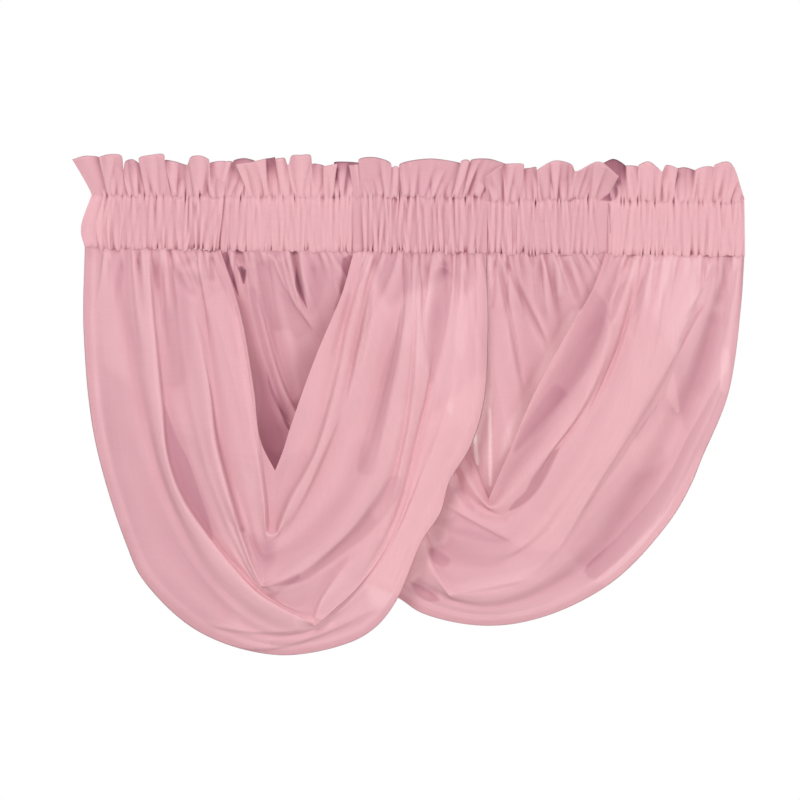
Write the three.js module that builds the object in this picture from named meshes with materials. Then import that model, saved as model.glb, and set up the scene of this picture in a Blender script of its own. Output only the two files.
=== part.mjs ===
// Scoop valance of sheer voile: two draped swags and a plain tail, hung from five gathered headings.
// Millimetres, +Z up, the front faces -Y. The origin is the middle of the rod pocket.

import * as THREE from "three";

// Cloth thickness, the clearance between pieces sewn together, and the flattest a sheet may lie to the
// viewer before its thickness along Y stops growing.
const SHEET = 1.6;
const SEWN_GAP = 0.3;
const LEAST_FACING = 0.35;

// Rod pocket: its lower seam, outer faces, rounded shoulders, how far it draws in at the lower seam and the
// height of its fine pleats; then the open tunnel between its walls.
const POCKET = { bottom: -39, front: -9.6, back: 9.2, shoulder: 8, drawIn: 1, pleat: 1.1 };
const TUNNEL = { front: -7.5, back: 7.5, bottom: -33, chamfer: 3, roof: 6 };

// Ruffle above the upper seam: doubled cloth, with its half-thickness at the stitching and, from the waist
// up, at the free edge. The flutes spread with this power of the height.
const RUFFLE = { root: 3.4, edge: 1.2, waist: 0.5, spread: 1.3 };

// Gathers below the seams, and how much of a fold line's length they take to fade.
const GATHER = { ridge: 2.2, valley: 1.4, fade: 0.12 };

// A pleat's two lines lie this far apart. Around its tip the front edge changes sides.
const PLEAT = { gap: 6, turnStart: 0.4, turnEnd: 0.6, reach: 0.02 };

// Mesh steps: along a swag, closer together towards its tips, along the tail, and across each bulge.
const STEPS = { swag: 28, towardsTip: 1.25, tail: 12, across: 2 };
// A flute wider than this gets a column halfway.
const WIDE_FLUTE = 11;

// Headings from left to right: the pocket's ends and the height of its upper seam at each end.
// Ruffle rows, one for each flute's crest or hollow: x, height of the free edge, depth (- is forward).
const HEADINGS = [
  {
    name: "heading_1_left",
    ends: [-460, -275],
    seam: [41, 38],
    flutes: [
      [-477, 91, -3], [-458, 95, -11], [-435, 94, 3], [-416, 98, -11], [-407, 78, 9], [-402, 90, -6],
      [-386, 87, 5], [-381, 94, -8], [-351, 98, -11], [-323, 84, 8], [-311, 95, -10], [-287, 90, -2],
      [-281, 87, 6], [-266, 88, 2],
    ],
  },
  {
    name: "heading_2_left",
    ends: [-274.7, -85],
    seam: [38, 38],
    flutes: [
      [-260, 88, -1], [-249, 92, 7], [-235, 92, 11], [-220, 87, -7], [-206, 92, 7], [-195, 92, 10],
      [-183, 94, -4], [-174, 83, 9], [-168, 95, -9], [-144, 97, -8], [-139, 84, 4], [-122, 80, 7],
      [-112, 88, 8], [-94, 87, 9], [-88, 83, 2],
    ],
  },
  {
    name: "heading_1_right",
    ends: [-84.7, 102],
    seam: [38, 37],
    flutes: [
      [-83, 83, 3], [-76, 91, -5], [-64, 92, -3], [-50, 94, -10], [-36, 88, -6], [-31, 80, 8],
      [-21, 80, 5], [1, 87, -9], [27, 92, -11], [48, 90, -5], [63, 85, 7], [72, 90, -5],
      [80, 85, 4], [92, 91, 3],
    ],
  },
  {
    name: "heading_3_left",
    ends: [102.3, 271],
    seam: [30, 37],
    flutes: [
      [103, 66, -13], [117, 77, -12], [129, 84, -8], [151, 84, -5], [157, 78, 6], [178, 81, 1],
      [202, 90, -10], [216, 88, -6], [227, 71, 8], [239, 80, -4], [261, 84, -11], [270, 72, -13],
    ],
  },
  {
    name: "heading_2_right",
    ends: [271.3, 462],
    seam: [33, 30],
    flutes: [
      [275, 86, 8], [282, 91, 11], [298, 81, -3], [312, 81, 4], [318, 84, -8], [336, 87, -8],
      [344, 76, 9], [353, 83, -8], [368, 78, 3], [384, 80, -10], [391, 76, 6], [402, 78, -5],
      [419, 80, 3], [427, 86, -8], [445, 78, -9], [457, 57, -4], [463, 40, 0],
    ],
  },
];

// Swags: each fold line leaves the left seam at x, runs down and in to its tip, then out and up to the
// right seam at x. Every pair is x, z, and tipAt is the share of the cloth's length that lies before the
// tip. The rows go from the outer hem to the inner hem.
// depth: y halfway down the left arm, at the tip and halfway up the right arm.
// under: the same for the cloth tucked behind a pleat; a row without it is a soft valley or a hem.
// crown: how far the cloth bulges forward between this line and the next.
const SWAGS = [
  {
    name: "swag_1",
    seamDepth: [-6, -6],
    folds: [
      { left: -460, down: [-468, -442], into: [-370, -602], tip: [-190, -602], tipAt: 0.5, out: [1, -627],
        up: [104, -305], right: 99.5, depth: [-14, -28, -30], crown: 7 },
      { left: -434, down: [-434, -344], into: [-349, -568], tip: [-188, -592], tipAt: 0.5, out: [-12, -600],
        up: [80, -302], right: 82, depth: [-17, -36, -36], crown: 8 },
      { left: -409, down: [-409, -218], into: [-349, -470], tip: [-160, -579], tipAt: 0.52, out: [-28, -580],
        up: [40, -330], right: 62, depth: [-19, -42, -38], crown: 10 },
      { left: -372, down: [-367, -204], into: [-356, -470], tip: [-136, -559], tipAt: 0.56, out: [-41, -498],
        up: [8, -316], right: 38, depth: [-36, -52, -56], under: [-18, -48, -36], crown: 9 },
      { left: -328, down: [-300, -190], into: [-283, -344], tip: [-205, -496], tipAt: 0.48, out: [-55, -491],
        up: [-20, -316], right: 2, depth: [-40, -58, -62], under: [-18, -52, -34], crown: 10 },
      { left: -302, down: [-269, -176], into: [-249, -386], tip: [-204, -455], tipAt: 0.49, out: [-146, -393],
        up: [-87, -246], right: -40, depth: [-22, -38, -40], crown: 7 },
      { left: -286, down: [-246, -169], into: [-218, -386], tip: [-197, -433], tipAt: 0.5, out: [-167, -386],
        up: [-104, -232], right: -62, depth: [-32, -52, -44], crown: 0 },
      { left: -277.5, down: [-242, -106], into: [-221, -274], tip: [-193, -344], tipAt: 0.5, out: [-174, -302],
        up: [-125, -155], right: -82.5, depth: [-20, -28, -26] },
    ],
  },
  {
    name: "swag_2",
    seamDepth: [4, -6],
    folds: [
      { left: -272.5, down: [-283, -344], into: [-118, -540], tip: [99, -563], tipAt: 0.5, out: [291, -568],
        up: [459, -344], right: 461, depth: [18, -2, -12], crown: 6 },
      { left: -244, down: [-244, -302], into: [-97, -512], tip: [90, -535], tipAt: 0.49, out: [267, -529],
        up: [421, -323], right: 431, depth: [16, -6, -12], crown: 7 },
      { left: -210, down: [-175, -260], into: [1, -435], tip: [49, -517], tipAt: 0.46, out: [176, -510],
        up: [372, -316], right: 405, depth: [6, -10, -30], under: [18, -4, -12], crown: 7 },
      { left: -179, down: [-132, -232], into: [15, -414], tip: [106, -470], tipAt: 0.5, out: [204, -449],
        up: [344, -246], right: 378, depth: [14, -12, -22], crown: 9 },
      { left: -151, down: [-97, -232], into: [29, -386], tip: [141, -447], tipAt: 0.53, out: [204, -393],
        up: [295, -246], right: 337, depth: [4, -20, -38], under: [16, -14, -18], crown: 7 },
      { left: -120, down: [-55, -190], into: [60, -340], tip: [102, -405], tipAt: 0.5, out: [176, -344],
        up: [267, -204], right: 305, depth: [4, -16, -34], under: [14, -10, -16], crown: 4 },
      { left: -90, down: [-20, -134], into: [90, -274], tip: [105, -386], tipAt: 0.5, out: [127, -323],
        up: [176, -190], right: 274, depth: [14, -6, -14] },
    ],
  },
];

// Tail: its fold lines leave the seam at x and run down and in to the foot. depth: y at the middle and
// at the foot. The rows go from the left hem to the right hem.
const TAIL = {
  name: "tail_3",
  seamDepth: 4,
  folds: [
    { top: 104, down: [57, -232], into: [40, -372], foot: [194, -492], depth: [20, 20], crown: 1 },
    { top: 115, down: [92, -205], into: [132, -316], foot: [211, -497], depth: [10, 14], crown: 4 },
    { top: 150, down: [148, -162], into: [192, -330], foot: [228, -501], depth: [14, 16], crown: 6 },
    { top: 190, down: [207, -162], into: [272, -330], foot: [246, -504], depth: [14, 16], crown: 6 },
    { top: 230, down: [275, -134], into: [350, -316], foot: [266, -494], depth: [14, 16], crown: 6 },
    { top: 268.5, down: [350, -118], into: [475, -316], foot: [288, -470], depth: [10, 14] },
  ],
};

const VOILE = { color: 0xe3adb6, roughness: 0.85, metalness: 0 };

/** Catmull-Rom value through evenly spaced numbers, for t from 0 to 1. */
function spline(knots, t) {
  const last = knots.length - 1;
  const start = Math.min(Math.floor(t * last), last - 1);
  const f = t * last - start;
  const [a, b, c, d] = [-1, 0, 1, 2].map((k) => knots[THREE.MathUtils.clamp(start + k, 0, last)]);
  return b + 0.5 * f * (c - a + f * (2 * a - 5 * b + 4 * c - d + f * (3 * (b - c) + d - a)));
}

/** One closed mesh from points and triangles, turned so that its faces point out. */
function closedMesh(name, points, triangles) {
  let volume = 0;
  for (const [a, b, c] of triangles) {
    volume += points[a].dot(new THREE.Vector3().crossVectors(points[b], points[c]));
  }
  const outward = volume > 0 ? triangles : triangles.map(([a, b, c]) => [a, c, b]);
  const geometry = new THREE.BufferGeometry().setFromPoints(points);
  geometry.setIndex(outward.flat());
  geometry.computeVertexNormals();
  const mesh = new THREE.Mesh(geometry, new THREE.MeshStandardMaterial(VOILE));
  mesh.name = name;
  return mesh;
}

/** A sheet from a grid of points on its front face, thickened along Y and closed round its rim. */
function sheetMesh(name, grid) {
  const rows = grid.length;
  const columns = grid[0].length;
  const at = (i, j) => grid[THREE.MathUtils.clamp(i, 0, rows - 1)][THREE.MathUtils.clamp(j, 0, columns - 1)];
  const front = [];
  const back = [];
  for (let i = 0; i < rows; i++) {
    for (let j = 0; j < columns; j++) {
      const along = new THREE.Vector3().subVectors(at(i + 1, j), at(i - 1, j));
      const across = new THREE.Vector3().subVectors(at(i, j + 1), at(i, j - 1));
      const facing = Math.abs(along.cross(across).normalize().y);
      const depth = SHEET / Math.max(facing, LEAST_FACING);
      front.push(grid[i][j].clone());
      back.push(grid[i][j].clone().setY(grid[i][j].y + depth));
    }
  }
  const index = (i, j) => i * columns + j;
  const behind = (k) => k + front.length;
  const triangles = [];
  for (let i = 0; i < rows - 1; i++) {
    for (let j = 0; j < columns - 1; j++) {
      const [a, b, c, d] = [index(i, j), index(i, j + 1), index(i + 1, j + 1), index(i + 1, j)];
      triangles.push([a, b, c], [a, c, d]);
      triangles.push([behind(a), behind(c), behind(b)], [behind(a), behind(d), behind(c)]);
    }
  }
  const rim = [];
  for (let j = 0; j < columns; j++) rim.push(index(0, j));
  for (let i = 1; i < rows; i++) rim.push(index(i, columns - 1));
  for (let j = columns - 2; j >= 0; j--) rim.push(index(rows - 1, j));
  for (let i = rows - 2; i > 0; i--) rim.push(index(i, 0));
  rim.forEach((a, k) => {
    const b = rim[(k + 1) % rim.length];
    triangles.push([b, a, behind(a)], [b, behind(a), behind(b)]);
  });
  return closedMesh(name, [...front, ...back], triangles);
}

/** A Bézier arm in the X-Z plane, evenly paced along its length. */
function arm(...pairs) {
  return new THREE.CubicBezierCurve(...pairs.map(([x, z]) => new THREE.Vector2(x, z)));
}

/** How far the gathers below a seam have given way to the folds, from 0 at the seam to 1. */
function clearOfSeam(u) {
  return THREE.MathUtils.smoothstep(u, 0, GATHER.fade);
}

/** Rib lines with a forward bulge put between each line that has a crown and the next. */
function addCrowns(ribs, seamClear) {
  return ribs.flatMap(({ line, crown }, k) => (crown === undefined ? [line] : [line, (u) => {
    const middle = line(u).lerp(ribs[k + 1].line(u), 0.5);
    const forward = THREE.MathUtils.lerp(GATHER.ridge + GATHER.valley, crown, seamClear(u));
    return middle.setY(middle.y - forward);
  }]));
}

/** Rib lines of one swag from its outer hem to its inner hem, each a function of u from seam to seam. */
function swagRibs({ seamDepth, folds }) {
  const seamZ = POCKET.bottom - SEWN_GAP;
  const ribs = [];
  const seamClear = (u) => clearOfSeam(Math.min(u, 1 - u));
  folds.forEach((fold) => {
    const arms = [
      arm([fold.left, seamZ], fold.down, fold.into, fold.tip),
      arm(fold.tip, fold.out, fold.up, [fold.right, seamZ]),
    ];
    const place = (t) => (t < 0.5 ? arms[0].getPointAt(2 * t) : arms[1].getPointAt(2 * t - 1));
    const inward = (t) => {
      const [from, to] = [Math.max(t - PLEAT.reach, 0), Math.min(t + PLEAT.reach, 1)].map(place);
      const way = to.sub(from).normalize();
      return new THREE.Vector2(-way.y, way.x);
    };
    const depth = (values, t) => spline([seamDepth[0], ...values, seamDepth[1]], t);
    const rib = (values, partner, side) => (u) => {
      const t = u < fold.tipAt ? u / fold.tipAt / 2 : (1 + (u - fold.tipAt) / (1 - fold.tipAt)) / 2;
      const turn = THREE.MathUtils.smoothstep(t, PLEAT.turnStart, PLEAT.turnEnd);
      const own = depth(values, t);
      const y = partner ? THREE.MathUtils.lerp(own, depth(partner, t), turn) : own;
      const spot = place(t).addScaledVector(inward(t), side * PLEAT.gap / 2);
      const z = u === 0 || u === 1 ? seamZ : spot.y;
      return new THREE.Vector3(spot.x, y + GATHER.valley * (1 - seamClear(u)), z);
    };
    if (fold.under) {
      ribs.push({ line: rib(fold.depth, fold.under, -1) });
      ribs.push({ line: rib(fold.under, fold.depth, 1), crown: fold.crown });
    } else {
      ribs.push({ line: rib(fold.depth, null, 0), crown: fold.crown });
    }
  });
  return addCrowns(ribs, seamClear);
}

/** Grid of points over rib lines: a row for each step along them, smooth from line to line. */
function loft(ribs, steps, pace) {
  const grid = [];
  const cells = (ribs.length - 1) * STEPS.across;
  for (let i = 0; i <= steps; i++) {
    const marks = ribs.map((rib) => rib(pace(i / steps)));
    const row = [];
    for (let j = 0; j <= cells; j++) {
      const [x, y, z] = ["x", "y", "z"].map((axis) => spline(marks.map((mark) => mark[axis]), j / cells));
      row.push(new THREE.Vector3(x, y, z));
    }
    grid.push(row);
  }
  return grid;
}

/** A swag's steps draw together towards the tips, halfway along. */
function swag(spec) {
  const pace = (t) => 0.5 + 0.5 * Math.sign(t - 0.5) * Math.abs(2 * t - 1) ** STEPS.towardsTip;
  return sheetMesh(spec.name, loft(swagRibs(spec), STEPS.swag, pace));
}

/** The tail hangs from one seam, so its rib lines have a single arm. */
function tail({ name, seamDepth, folds }) {
  const seamZ = POCKET.bottom - SEWN_GAP;
  const ribs = folds.map((fold) => {
    const path = arm([fold.top, seamZ], fold.down, fold.into, fold.foot);
    const line = (u) => {
      const spot = path.getPointAt(u);
      const y = spline([seamDepth, ...fold.depth], u) + GATHER.valley * (1 - clearOfSeam(u));
      return new THREE.Vector3(spot.x, y, spot.y);
    };
    return { line, crown: fold.crown };
  });
  return sheetMesh(name, loft(addCrowns(ribs, clearOfSeam), STEPS.tail, (t) => t));
}

/** Ruffle flutes as columns: every row of the table, and a point halfway along each wide flute. */
function fluteColumns(flutes) {
  return flutes.flatMap((flute, k) => {
    const next = flutes[k + 1];
    const wide = next && next[0] - flute[0] > WIDE_FLUTE;
    return wide ? [flute, flute.map((value, n) => (value + next[n]) / 2)] : [flute];
  });
}

/** Outer and inner outline of a heading at one column: the pocket's walls, its tunnel and the ruffle. */
function headingSection(seamX, seamTop, [edgeX, edgeZ, edgeY], pleat) {
  const ruffle = (rise, side) => {
    const half = THREE.MathUtils.lerp(RUFFLE.root, RUFFLE.edge, Math.min(1, rise / RUFFLE.waist));
    return new THREE.Vector3(
      THREE.MathUtils.lerp(seamX, edgeX, rise),
      edgeY * rise ** RUFFLE.spread + side * half,
      THREE.MathUtils.lerp(seamTop, edgeZ, rise),
    );
  };
  const wall = (y, z) => new THREE.Vector3(seamX, y, z);
  const low = POCKET.bottom + POCKET.shoulder;
  const high = seamTop - POCKET.shoulder;
  const outer = [
    wall(POCKET.back - POCKET.drawIn, POCKET.bottom), wall(POCKET.back + pleat, low),
    wall(POCKET.back + pleat, high), ruffle(0, 1), ruffle(RUFFLE.waist, 1), ruffle(1, 1),
    ruffle(1, -1), ruffle(RUFFLE.waist, -1), ruffle(0, -1), wall(POCKET.front - pleat, high),
    wall(POCKET.front - pleat, low), wall(POCKET.front + POCKET.drawIn, POCKET.bottom),
  ];
  const roof = seamTop - TUNNEL.roof;
  const cut = TUNNEL.chamfer;
  const inner = [
    wall(TUNNEL.back, TUNNEL.bottom), wall(TUNNEL.back, roof - cut), wall(TUNNEL.back - cut, roof),
    wall(TUNNEL.front + cut, roof), wall(TUNNEL.front, roof - cut), wall(TUNNEL.front, TUNNEL.bottom),
  ];
  return { outer, inner };
}

/** One gathered heading: pocket walls round an open tunnel, with its ruffle standing on top. */
function heading({ name, ends, seam, flutes }) {
  const columns = fluteColumns(flutes);
  const share = (k) => (columns[k][0] - flutes[0][0]) / (flutes[flutes.length - 1][0] - flutes[0][0]);
  const sections = columns.map((flute, k) => headingSection(
    THREE.MathUtils.lerp(...ends, share(k)),
    THREE.MathUtils.lerp(...seam, share(k)),
    flute,
    k % 2 ? POCKET.pleat : 0,
  ));
  const points = [];
  const triangles = [];
  const addTube = (loops, inward) => {
    const first = points.length;
    const size = loops[0].length;
    points.push(...loops.flat());
    for (let k = 0; k < loops.length - 1; k++) {
      for (let n = 0; n < size; n++) {
        const a = first + k * size + n;
        const b = first + k * size + ((n + 1) % size);
        const [c, d] = [b + size, a + size];
        triangles.push(...(inward ? [[a, d, c], [a, c, b]] : [[a, c, d], [a, b, c]]));
      }
    }
    return first;
  };
  const outerFirst = addTube(sections.map((section) => section.outer), false);
  const innerFirst = addTube(sections.map((section) => section.inner), true);
  const addCap = (k, faceRight) => {
    const flat = (loop) => loop.map((point) => new THREE.Vector2(point.y, point.z));
    const { outer, inner } = sections[k];
    const spots = [...flat(outer), ...flat(inner)];
    const number = (n) => (n < outer.length
      ? outerFirst + k * outer.length + n
      : innerFirst + k * inner.length + n - outer.length);
    THREE.ShapeUtils.triangulateShape(flat(outer), [flat(inner)]).forEach((face) => {
      const leftHanded = THREE.ShapeUtils.area(face.map((n) => spots[n])) < 0;
      const [a, b, c] = face.map(number);
      triangles.push(leftHanded === faceRight ? [a, c, b] : [a, b, c]);
    });
  };
  addCap(0, false);
  addCap(sections.length - 1, true);
  return closedMesh(name, points, triangles);
}

const valance = new THREE.Group();
valance.name = "scoop_valance";
valance.add(...HEADINGS.map(heading), ...SWAGS.map(swag), tail(TAIL));

export default valance;
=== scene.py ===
"""Looks of a sheer scoop valance: draped voile swags sewn to gathered rod-pocket headings."""

import logging
import math
from dataclasses import dataclass, field
from enum import Enum
from typing import Any, ClassVar, Sequence

import bpy
import numpy as np
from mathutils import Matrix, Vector


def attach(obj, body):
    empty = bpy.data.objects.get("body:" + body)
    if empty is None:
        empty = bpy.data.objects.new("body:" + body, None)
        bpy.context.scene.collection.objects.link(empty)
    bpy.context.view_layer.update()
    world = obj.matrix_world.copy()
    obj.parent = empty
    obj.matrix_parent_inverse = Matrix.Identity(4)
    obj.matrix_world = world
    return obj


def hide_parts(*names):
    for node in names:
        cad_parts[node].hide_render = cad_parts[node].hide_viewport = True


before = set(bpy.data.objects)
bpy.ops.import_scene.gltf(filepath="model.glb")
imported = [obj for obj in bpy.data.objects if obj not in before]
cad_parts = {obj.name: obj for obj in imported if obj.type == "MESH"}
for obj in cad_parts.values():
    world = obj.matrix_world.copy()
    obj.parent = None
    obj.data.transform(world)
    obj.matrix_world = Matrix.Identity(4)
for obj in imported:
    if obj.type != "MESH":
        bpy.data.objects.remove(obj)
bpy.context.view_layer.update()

logging.basicConfig(level=logging.INFO, format="%(message)s")
LOG = logging.getLogger("scoop_valance")

Pair = tuple[float, float]
Triple = tuple[float, float, float]
Array = np.ndarray

# Sizes below are millimetres in the frame of the CAD part; meshes are written in metres.
MM = 0.001
BODY = "root"
# Steps for each knot when a curve's length is measured.
PATH_STEPS = 50
# Ribs that come closer than this count as this far apart, and so many columns lie between them at least.
LEAST_CHORD = 0.001
LEAST_STEPS = 3


class Relief(Enum):
    """How a crease stands out of the cloth, for someone who follows it from its start to its end."""

    LEFT_OVER = "the cloth on the left lies over the cloth on the right"
    RIGHT_OVER = "the cloth on the right lies over the cloth on the left"
    RIDGE = "a soft ridge along the line"
    TROUGH = "a soft trough along the line"


class Layer(Enum):
    """Which seam of the pocket a leg hangs from, and how far forward its cloth starts."""

    FRONT = -6.0
    BACK = -1.0


class Seam(Enum):
    """The two rows of stitching that close a rod pocket."""

    UPPER = 0
    LOWER = 1


class Side(Enum):
    """The two sides of a folded-over strip, with their way along Y."""

    FRONT = -1.0
    BACK = 1.0


class Held(Enum):
    """How a sheet is held."""

    GATHERED = "gathered"
    DRAPED = "draped"
    HUNG = "hung"


def smoothstep(low: float, high: float, value: Array) -> Array:
    """Smooth rise from 0 at low to 1 at high."""
    share = np.clip((value - low) / (high - low), 0.0, 1.0)
    return share * share * (3.0 - 2.0 * share)


def blend(here: Array, after: Array, slopes: tuple[Array, Array], t: Array) -> Array:
    """Smooth way between two points, at shares t of it; the slopes at both ends are times its width."""
    return (
        (1 + 2 * t) * (1 - t) ** 2 * here + t * (1 - t) ** 2 * slopes[0]
        + t**2 * (3 - 2 * t) * after + t**2 * (t - 1) * slopes[1]
    )


def hermite(knots: Array, marks: Array, places: Array) -> Array:
    """Smooth curve through knots.

    Args:
        knots: Points or numbers that the curve passes through.
        marks: Where each knot lies along the curve.
        places: Where the curve is wanted.

    Returns:
        The curve at each place.
    """
    slopes = np.gradient(knots, marks, axis=0)
    start = np.clip(np.searchsorted(marks, places, side="right") - 1, 0, len(marks) - 2)
    shape = (-1,) + (1,) * (knots.ndim - 1)
    width = np.diff(marks)[start].reshape(shape)
    t = (places - marks[start]).reshape(shape) / width
    return blend(knots[start], knots[start + 1], (width * slopes[start], width * slopes[start + 1]), t)


def spline(knots: list[float], places: Array) -> Array:
    """Smooth curve through a few evenly spaced numbers, at places from 0 to 1."""
    return hermite(np.array(knots, float), np.linspace(0.0, 1.0, len(knots)), places)


def run_along(points: Array, axis: int) -> Array:
    """Distance of each point from the start, down a line or a grid's rows (axis 0) or across it (axis 1)."""
    steps = np.linalg.norm(np.diff(points, axis=axis), axis=-1)
    return np.insert(np.cumsum(steps, axis=axis), 0, 0.0, axis=axis)


def path_through(points: list[tuple[float, ...]], stops: list[int], places: Array) -> Array:
    """Evenly paced points along a smooth curve through a few points.

    Args:
        points: Points of the curve.
        stops: Numbers of the points between which the pace is even, the first and last among them.
        places: Places along the curve; each stretch between stops takes an equal share of 0 to 1.

    Returns:
        One point for each place.
    """
    knots = np.array(points, float)
    marks = np.append(0.0, np.cumsum(np.sqrt(np.linalg.norm(np.diff(knots, axis=0), axis=1))))
    fine = np.linspace(0.0, marks[-1], PATH_STEPS * len(knots))
    path = hermite(knots, marks, fine)
    length = run_along(path, 0)
    reached = np.interp(marks[stops], fine, length)
    wanted = np.interp(places, np.linspace(0.0, 1.0, len(stops)), reached)
    return np.column_stack([np.interp(wanted, length, column) for column in path.T])


def fill_between(ribs: Array, spacing: float) -> tuple[Array, Array]:
    """Fills a sheet between ribs, smoothly and without overshoot where ribs lie close.

    Args:
        ribs: Points, as rows and ribs.
        spacing: About how far apart the columns lie.

    Returns:
        The grid of points, as rows and columns, and the rib number at each column.
    """
    chords = np.linalg.norm(np.diff(ribs, axis=1), axis=2)
    width = np.sqrt(np.maximum(chords, LEAST_CHORD))[..., None]
    tilt = np.diff(ribs, axis=1) / width
    inner = (tilt[:, :-1] * width[:, 1:] + tilt[:, 1:] * width[:, :-1]) / (width[:, :-1] + width[:, 1:])
    slopes = np.concatenate([tilt[:, :1], inner, tilt[:, -1:]], axis=1)
    columns, marks = [], []
    for k, chord in enumerate(chords.mean(axis=0)):
        steps = max(LEAST_STEPS, round(chord / spacing))
        t = np.arange(steps) / steps
        here, after = slice(k, k + 1), slice(k + 1, k + 2)
        ends = (width[:, here] * slopes[:, here], width[:, here] * slopes[:, after])
        columns.append(blend(ribs[:, here], ribs[:, after], ends, t[None, :, None]))
        marks.append(k + t)
    return np.concatenate([*columns, ribs[:, -1:]], axis=1), np.append(np.concatenate(marks), len(chords[0]))


def hollow_depth(grid: Array, columns: int, rows: int) -> Array:
    """How far each place lies behind the cloth around it; the pieces paint shade into hollows and light onto
    ridges from it.

    Args:
        grid: Points, as rows and columns.
        columns: How many columns to either side count as around.
        rows: How many rows above and below count as around.

    Returns:
        Depth of each place in its valley; a ridge is negative.
    """
    around = grid[..., 1]
    for axis, reach in ((1, columns), (0, rows)):
        pads = [(0, 0), (0, 0)]
        pads[axis] = (reach + 1, reach)
        sums = np.cumsum(np.pad(around, pads, mode="edge"), axis=axis)
        size = 2 * reach + 1
        last, first = range(size, sums.shape[axis]), range(sums.shape[axis] - size)
        around = (np.take(sums, last, axis) - np.take(sums, first, axis)) / size
    return grid[..., 1] - around


def soften(grid: Array, weight: Array, rounds: int) -> Array:
    """Relaxes a grid along its rows, where the weight says so.

    Args:
        grid: Points, as rows and columns.
        weight: Share of each step that is taken, one number for each row.
        rounds: How many steps.

    Returns:
        The softened grid.
    """
    made = grid.copy()
    share = weight[1:-1, None, None]
    for _ in range(rounds):
        middle = (made[:-2] + made[2:]) / 2
        made[1:-1] += share * (middle - made[1:-1])
    return made


def boxed(spots: Array, path: Array, margin: float) -> Array:
    """Which places lie in the box round a path, with a margin."""
    return np.all((spots > path.min(0) - margin) & (spots < path.max(0) + margin), axis=1)


@dataclass(frozen=True)
class Crease:
    """A soft trough, ridge or lapped edge in the cloth, through three points as x and z.

    rise is how far it moves the cloth, reach how far that is felt to either side, and the fades are shares of
    its length over which it starts and ends.
    """

    start: Pair
    via: Pair
    end: Pair
    relief: Relief
    rise: float
    reach: float
    fade_start: float = 0.2
    fade_end: float = 0.2

    STEPS = 64
    # How sharply a lapped edge ends, and how far the cloth below it sinks, as a share of the rise.
    EDGE = 1.3
    SINK = 0.6
    # Beyond so many reaches nothing moves; beyond so many edges the cloth is all over or all under.
    FELT = 4
    CLEAR_OF_EDGE = 30.0

    def line(self) -> Array:
        """Points along the crease."""
        t = np.linspace(0.0, 1.0, self.STEPS)[:, None]
        a, m, b = (np.array(point, float) for point in (self.start, self.via, self.end))
        bend = 2 * m - (a + b) / 2
        return (1 - t) ** 2 * a + 2 * (1 - t) * t * bend + t**2 * b

    def _taper(self, place: Array) -> Array:
        """Strength of the crease along its line, from 0 at a faded end to 1."""
        made = np.ones_like(place)
        for fade, reached in ((self.fade_start, place), (self.fade_end, 1 - place)):
            if fade > 0:
                made *= smoothstep(0.0, fade, reached)
        return made

    def _section(self, side: Array, off: Array) -> Array:
        """Cross section of a crease that rises by 1.

        Args:
            side: How far to the left of the line each place lies.
            off: How far from the line it lies.

        Returns:
            The move along Y at each place.
        """
        if self.relief in (Relief.RIDGE, Relief.TROUGH):
            sign = -1.0 if self.relief is Relief.RIDGE else 1.0
            return sign * np.exp(-((off / self.reach) ** 2))
        front = side if self.relief is Relief.LEFT_OVER else -side
        over = 1 / (1 + np.exp(-np.clip(front / self.EDGE, -self.CLEAR_OF_EDGE, self.CLEAR_OF_EDGE)))
        return np.exp(-off / self.reach) * (self.SINK * (1 - over) - over)

    def press(self, spots: Array) -> Array:
        """How far the crease moves the cloth along Y.

        Args:
            spots: Places on the cloth as x and z, one a row.

        Returns:
            The move along Y at each place; towards the viewer is negative.
        """
        path = self.line()
        moved = np.zeros(len(spots))
        near = boxed(spots, path, self.FELT * self.reach)
        if not near.any():
            return moved
        gaps = spots[near][:, None, :] - path[None, :, :]
        nearest = np.argmin((gaps**2).sum(2), axis=1)
        way = np.gradient(path, axis=0)
        way /= np.linalg.norm(way, axis=1, keepdims=True)
        gap = gaps[np.arange(len(nearest)), nearest]
        ahead = way[nearest]
        side = ahead[:, 0] * gap[:, 1] - ahead[:, 1] * gap[:, 0]
        past_end = (nearest == 0) | (nearest == self.STEPS - 1)
        off = np.where(past_end, np.hypot(gap[:, 0], gap[:, 1]), np.abs(side))
        strength = self.rise * self._taper(nearest / (self.STEPS - 1))
        moved[near] = strength * self._section(side, off)
        return moved


@dataclass(frozen=True)
class Shade:
    """A patch of painted shade or painted light, partly for layers behind that show through or single cloth.

    layers is how many times the cloth counts there, above 1 darker as painted shade and below 1 lighter as
    painted light; outline is its edge as x and z, and soft how far that fades.
    """

    layers: float
    outline: list[Pair]
    soft: float = 1.0

    STEPS = 72
    # Stands for the rise of a level stretch of the outline, so that nothing is divided by zero.
    LEVEL = 1e-9

    def density(self, spots: Array) -> Array:
        """How many times the cloth counts at each place, with the patch's painted shade or light.

        Args:
            spots: Places on the cloth as x and z, one a row.

        Returns:
            The patch's layers inside its outline and 1 outside, with a soft edge.
        """
        closed = self.outline + self.outline[:1]
        ring = path_through(closed, [0, len(self.outline)], np.linspace(0.0, 1.0, self.STEPS))
        made = np.ones(len(spots))
        near = boxed(spots, ring, self.soft)
        if not near.any():
            return made
        x, z = spots[near][:, :1], spots[near][:, 1:]
        (x0, z0), (dx, dz) = ring[:-1].T, np.diff(ring, axis=0).T
        crosses = (z0 > z) != (ring[1:, 1] > z)
        meets = x0 + dx * (z - z0) / np.where(dz == 0, self.LEVEL, dz)
        inside = (crosses & (x < meets)).sum(axis=1) % 2 == 1
        part = np.clip(((x - x0) * dx + (z - z0) * dz) / (dx**2 + dz**2), 0.0, 1.0)
        off = np.hypot(x - x0 - part * dx, z - z0 - part * dz).min(axis=1)
        made[near] += (self.layers - 1) * smoothstep(-self.soft, self.soft, np.where(inside, off, -off))
        return made


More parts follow.
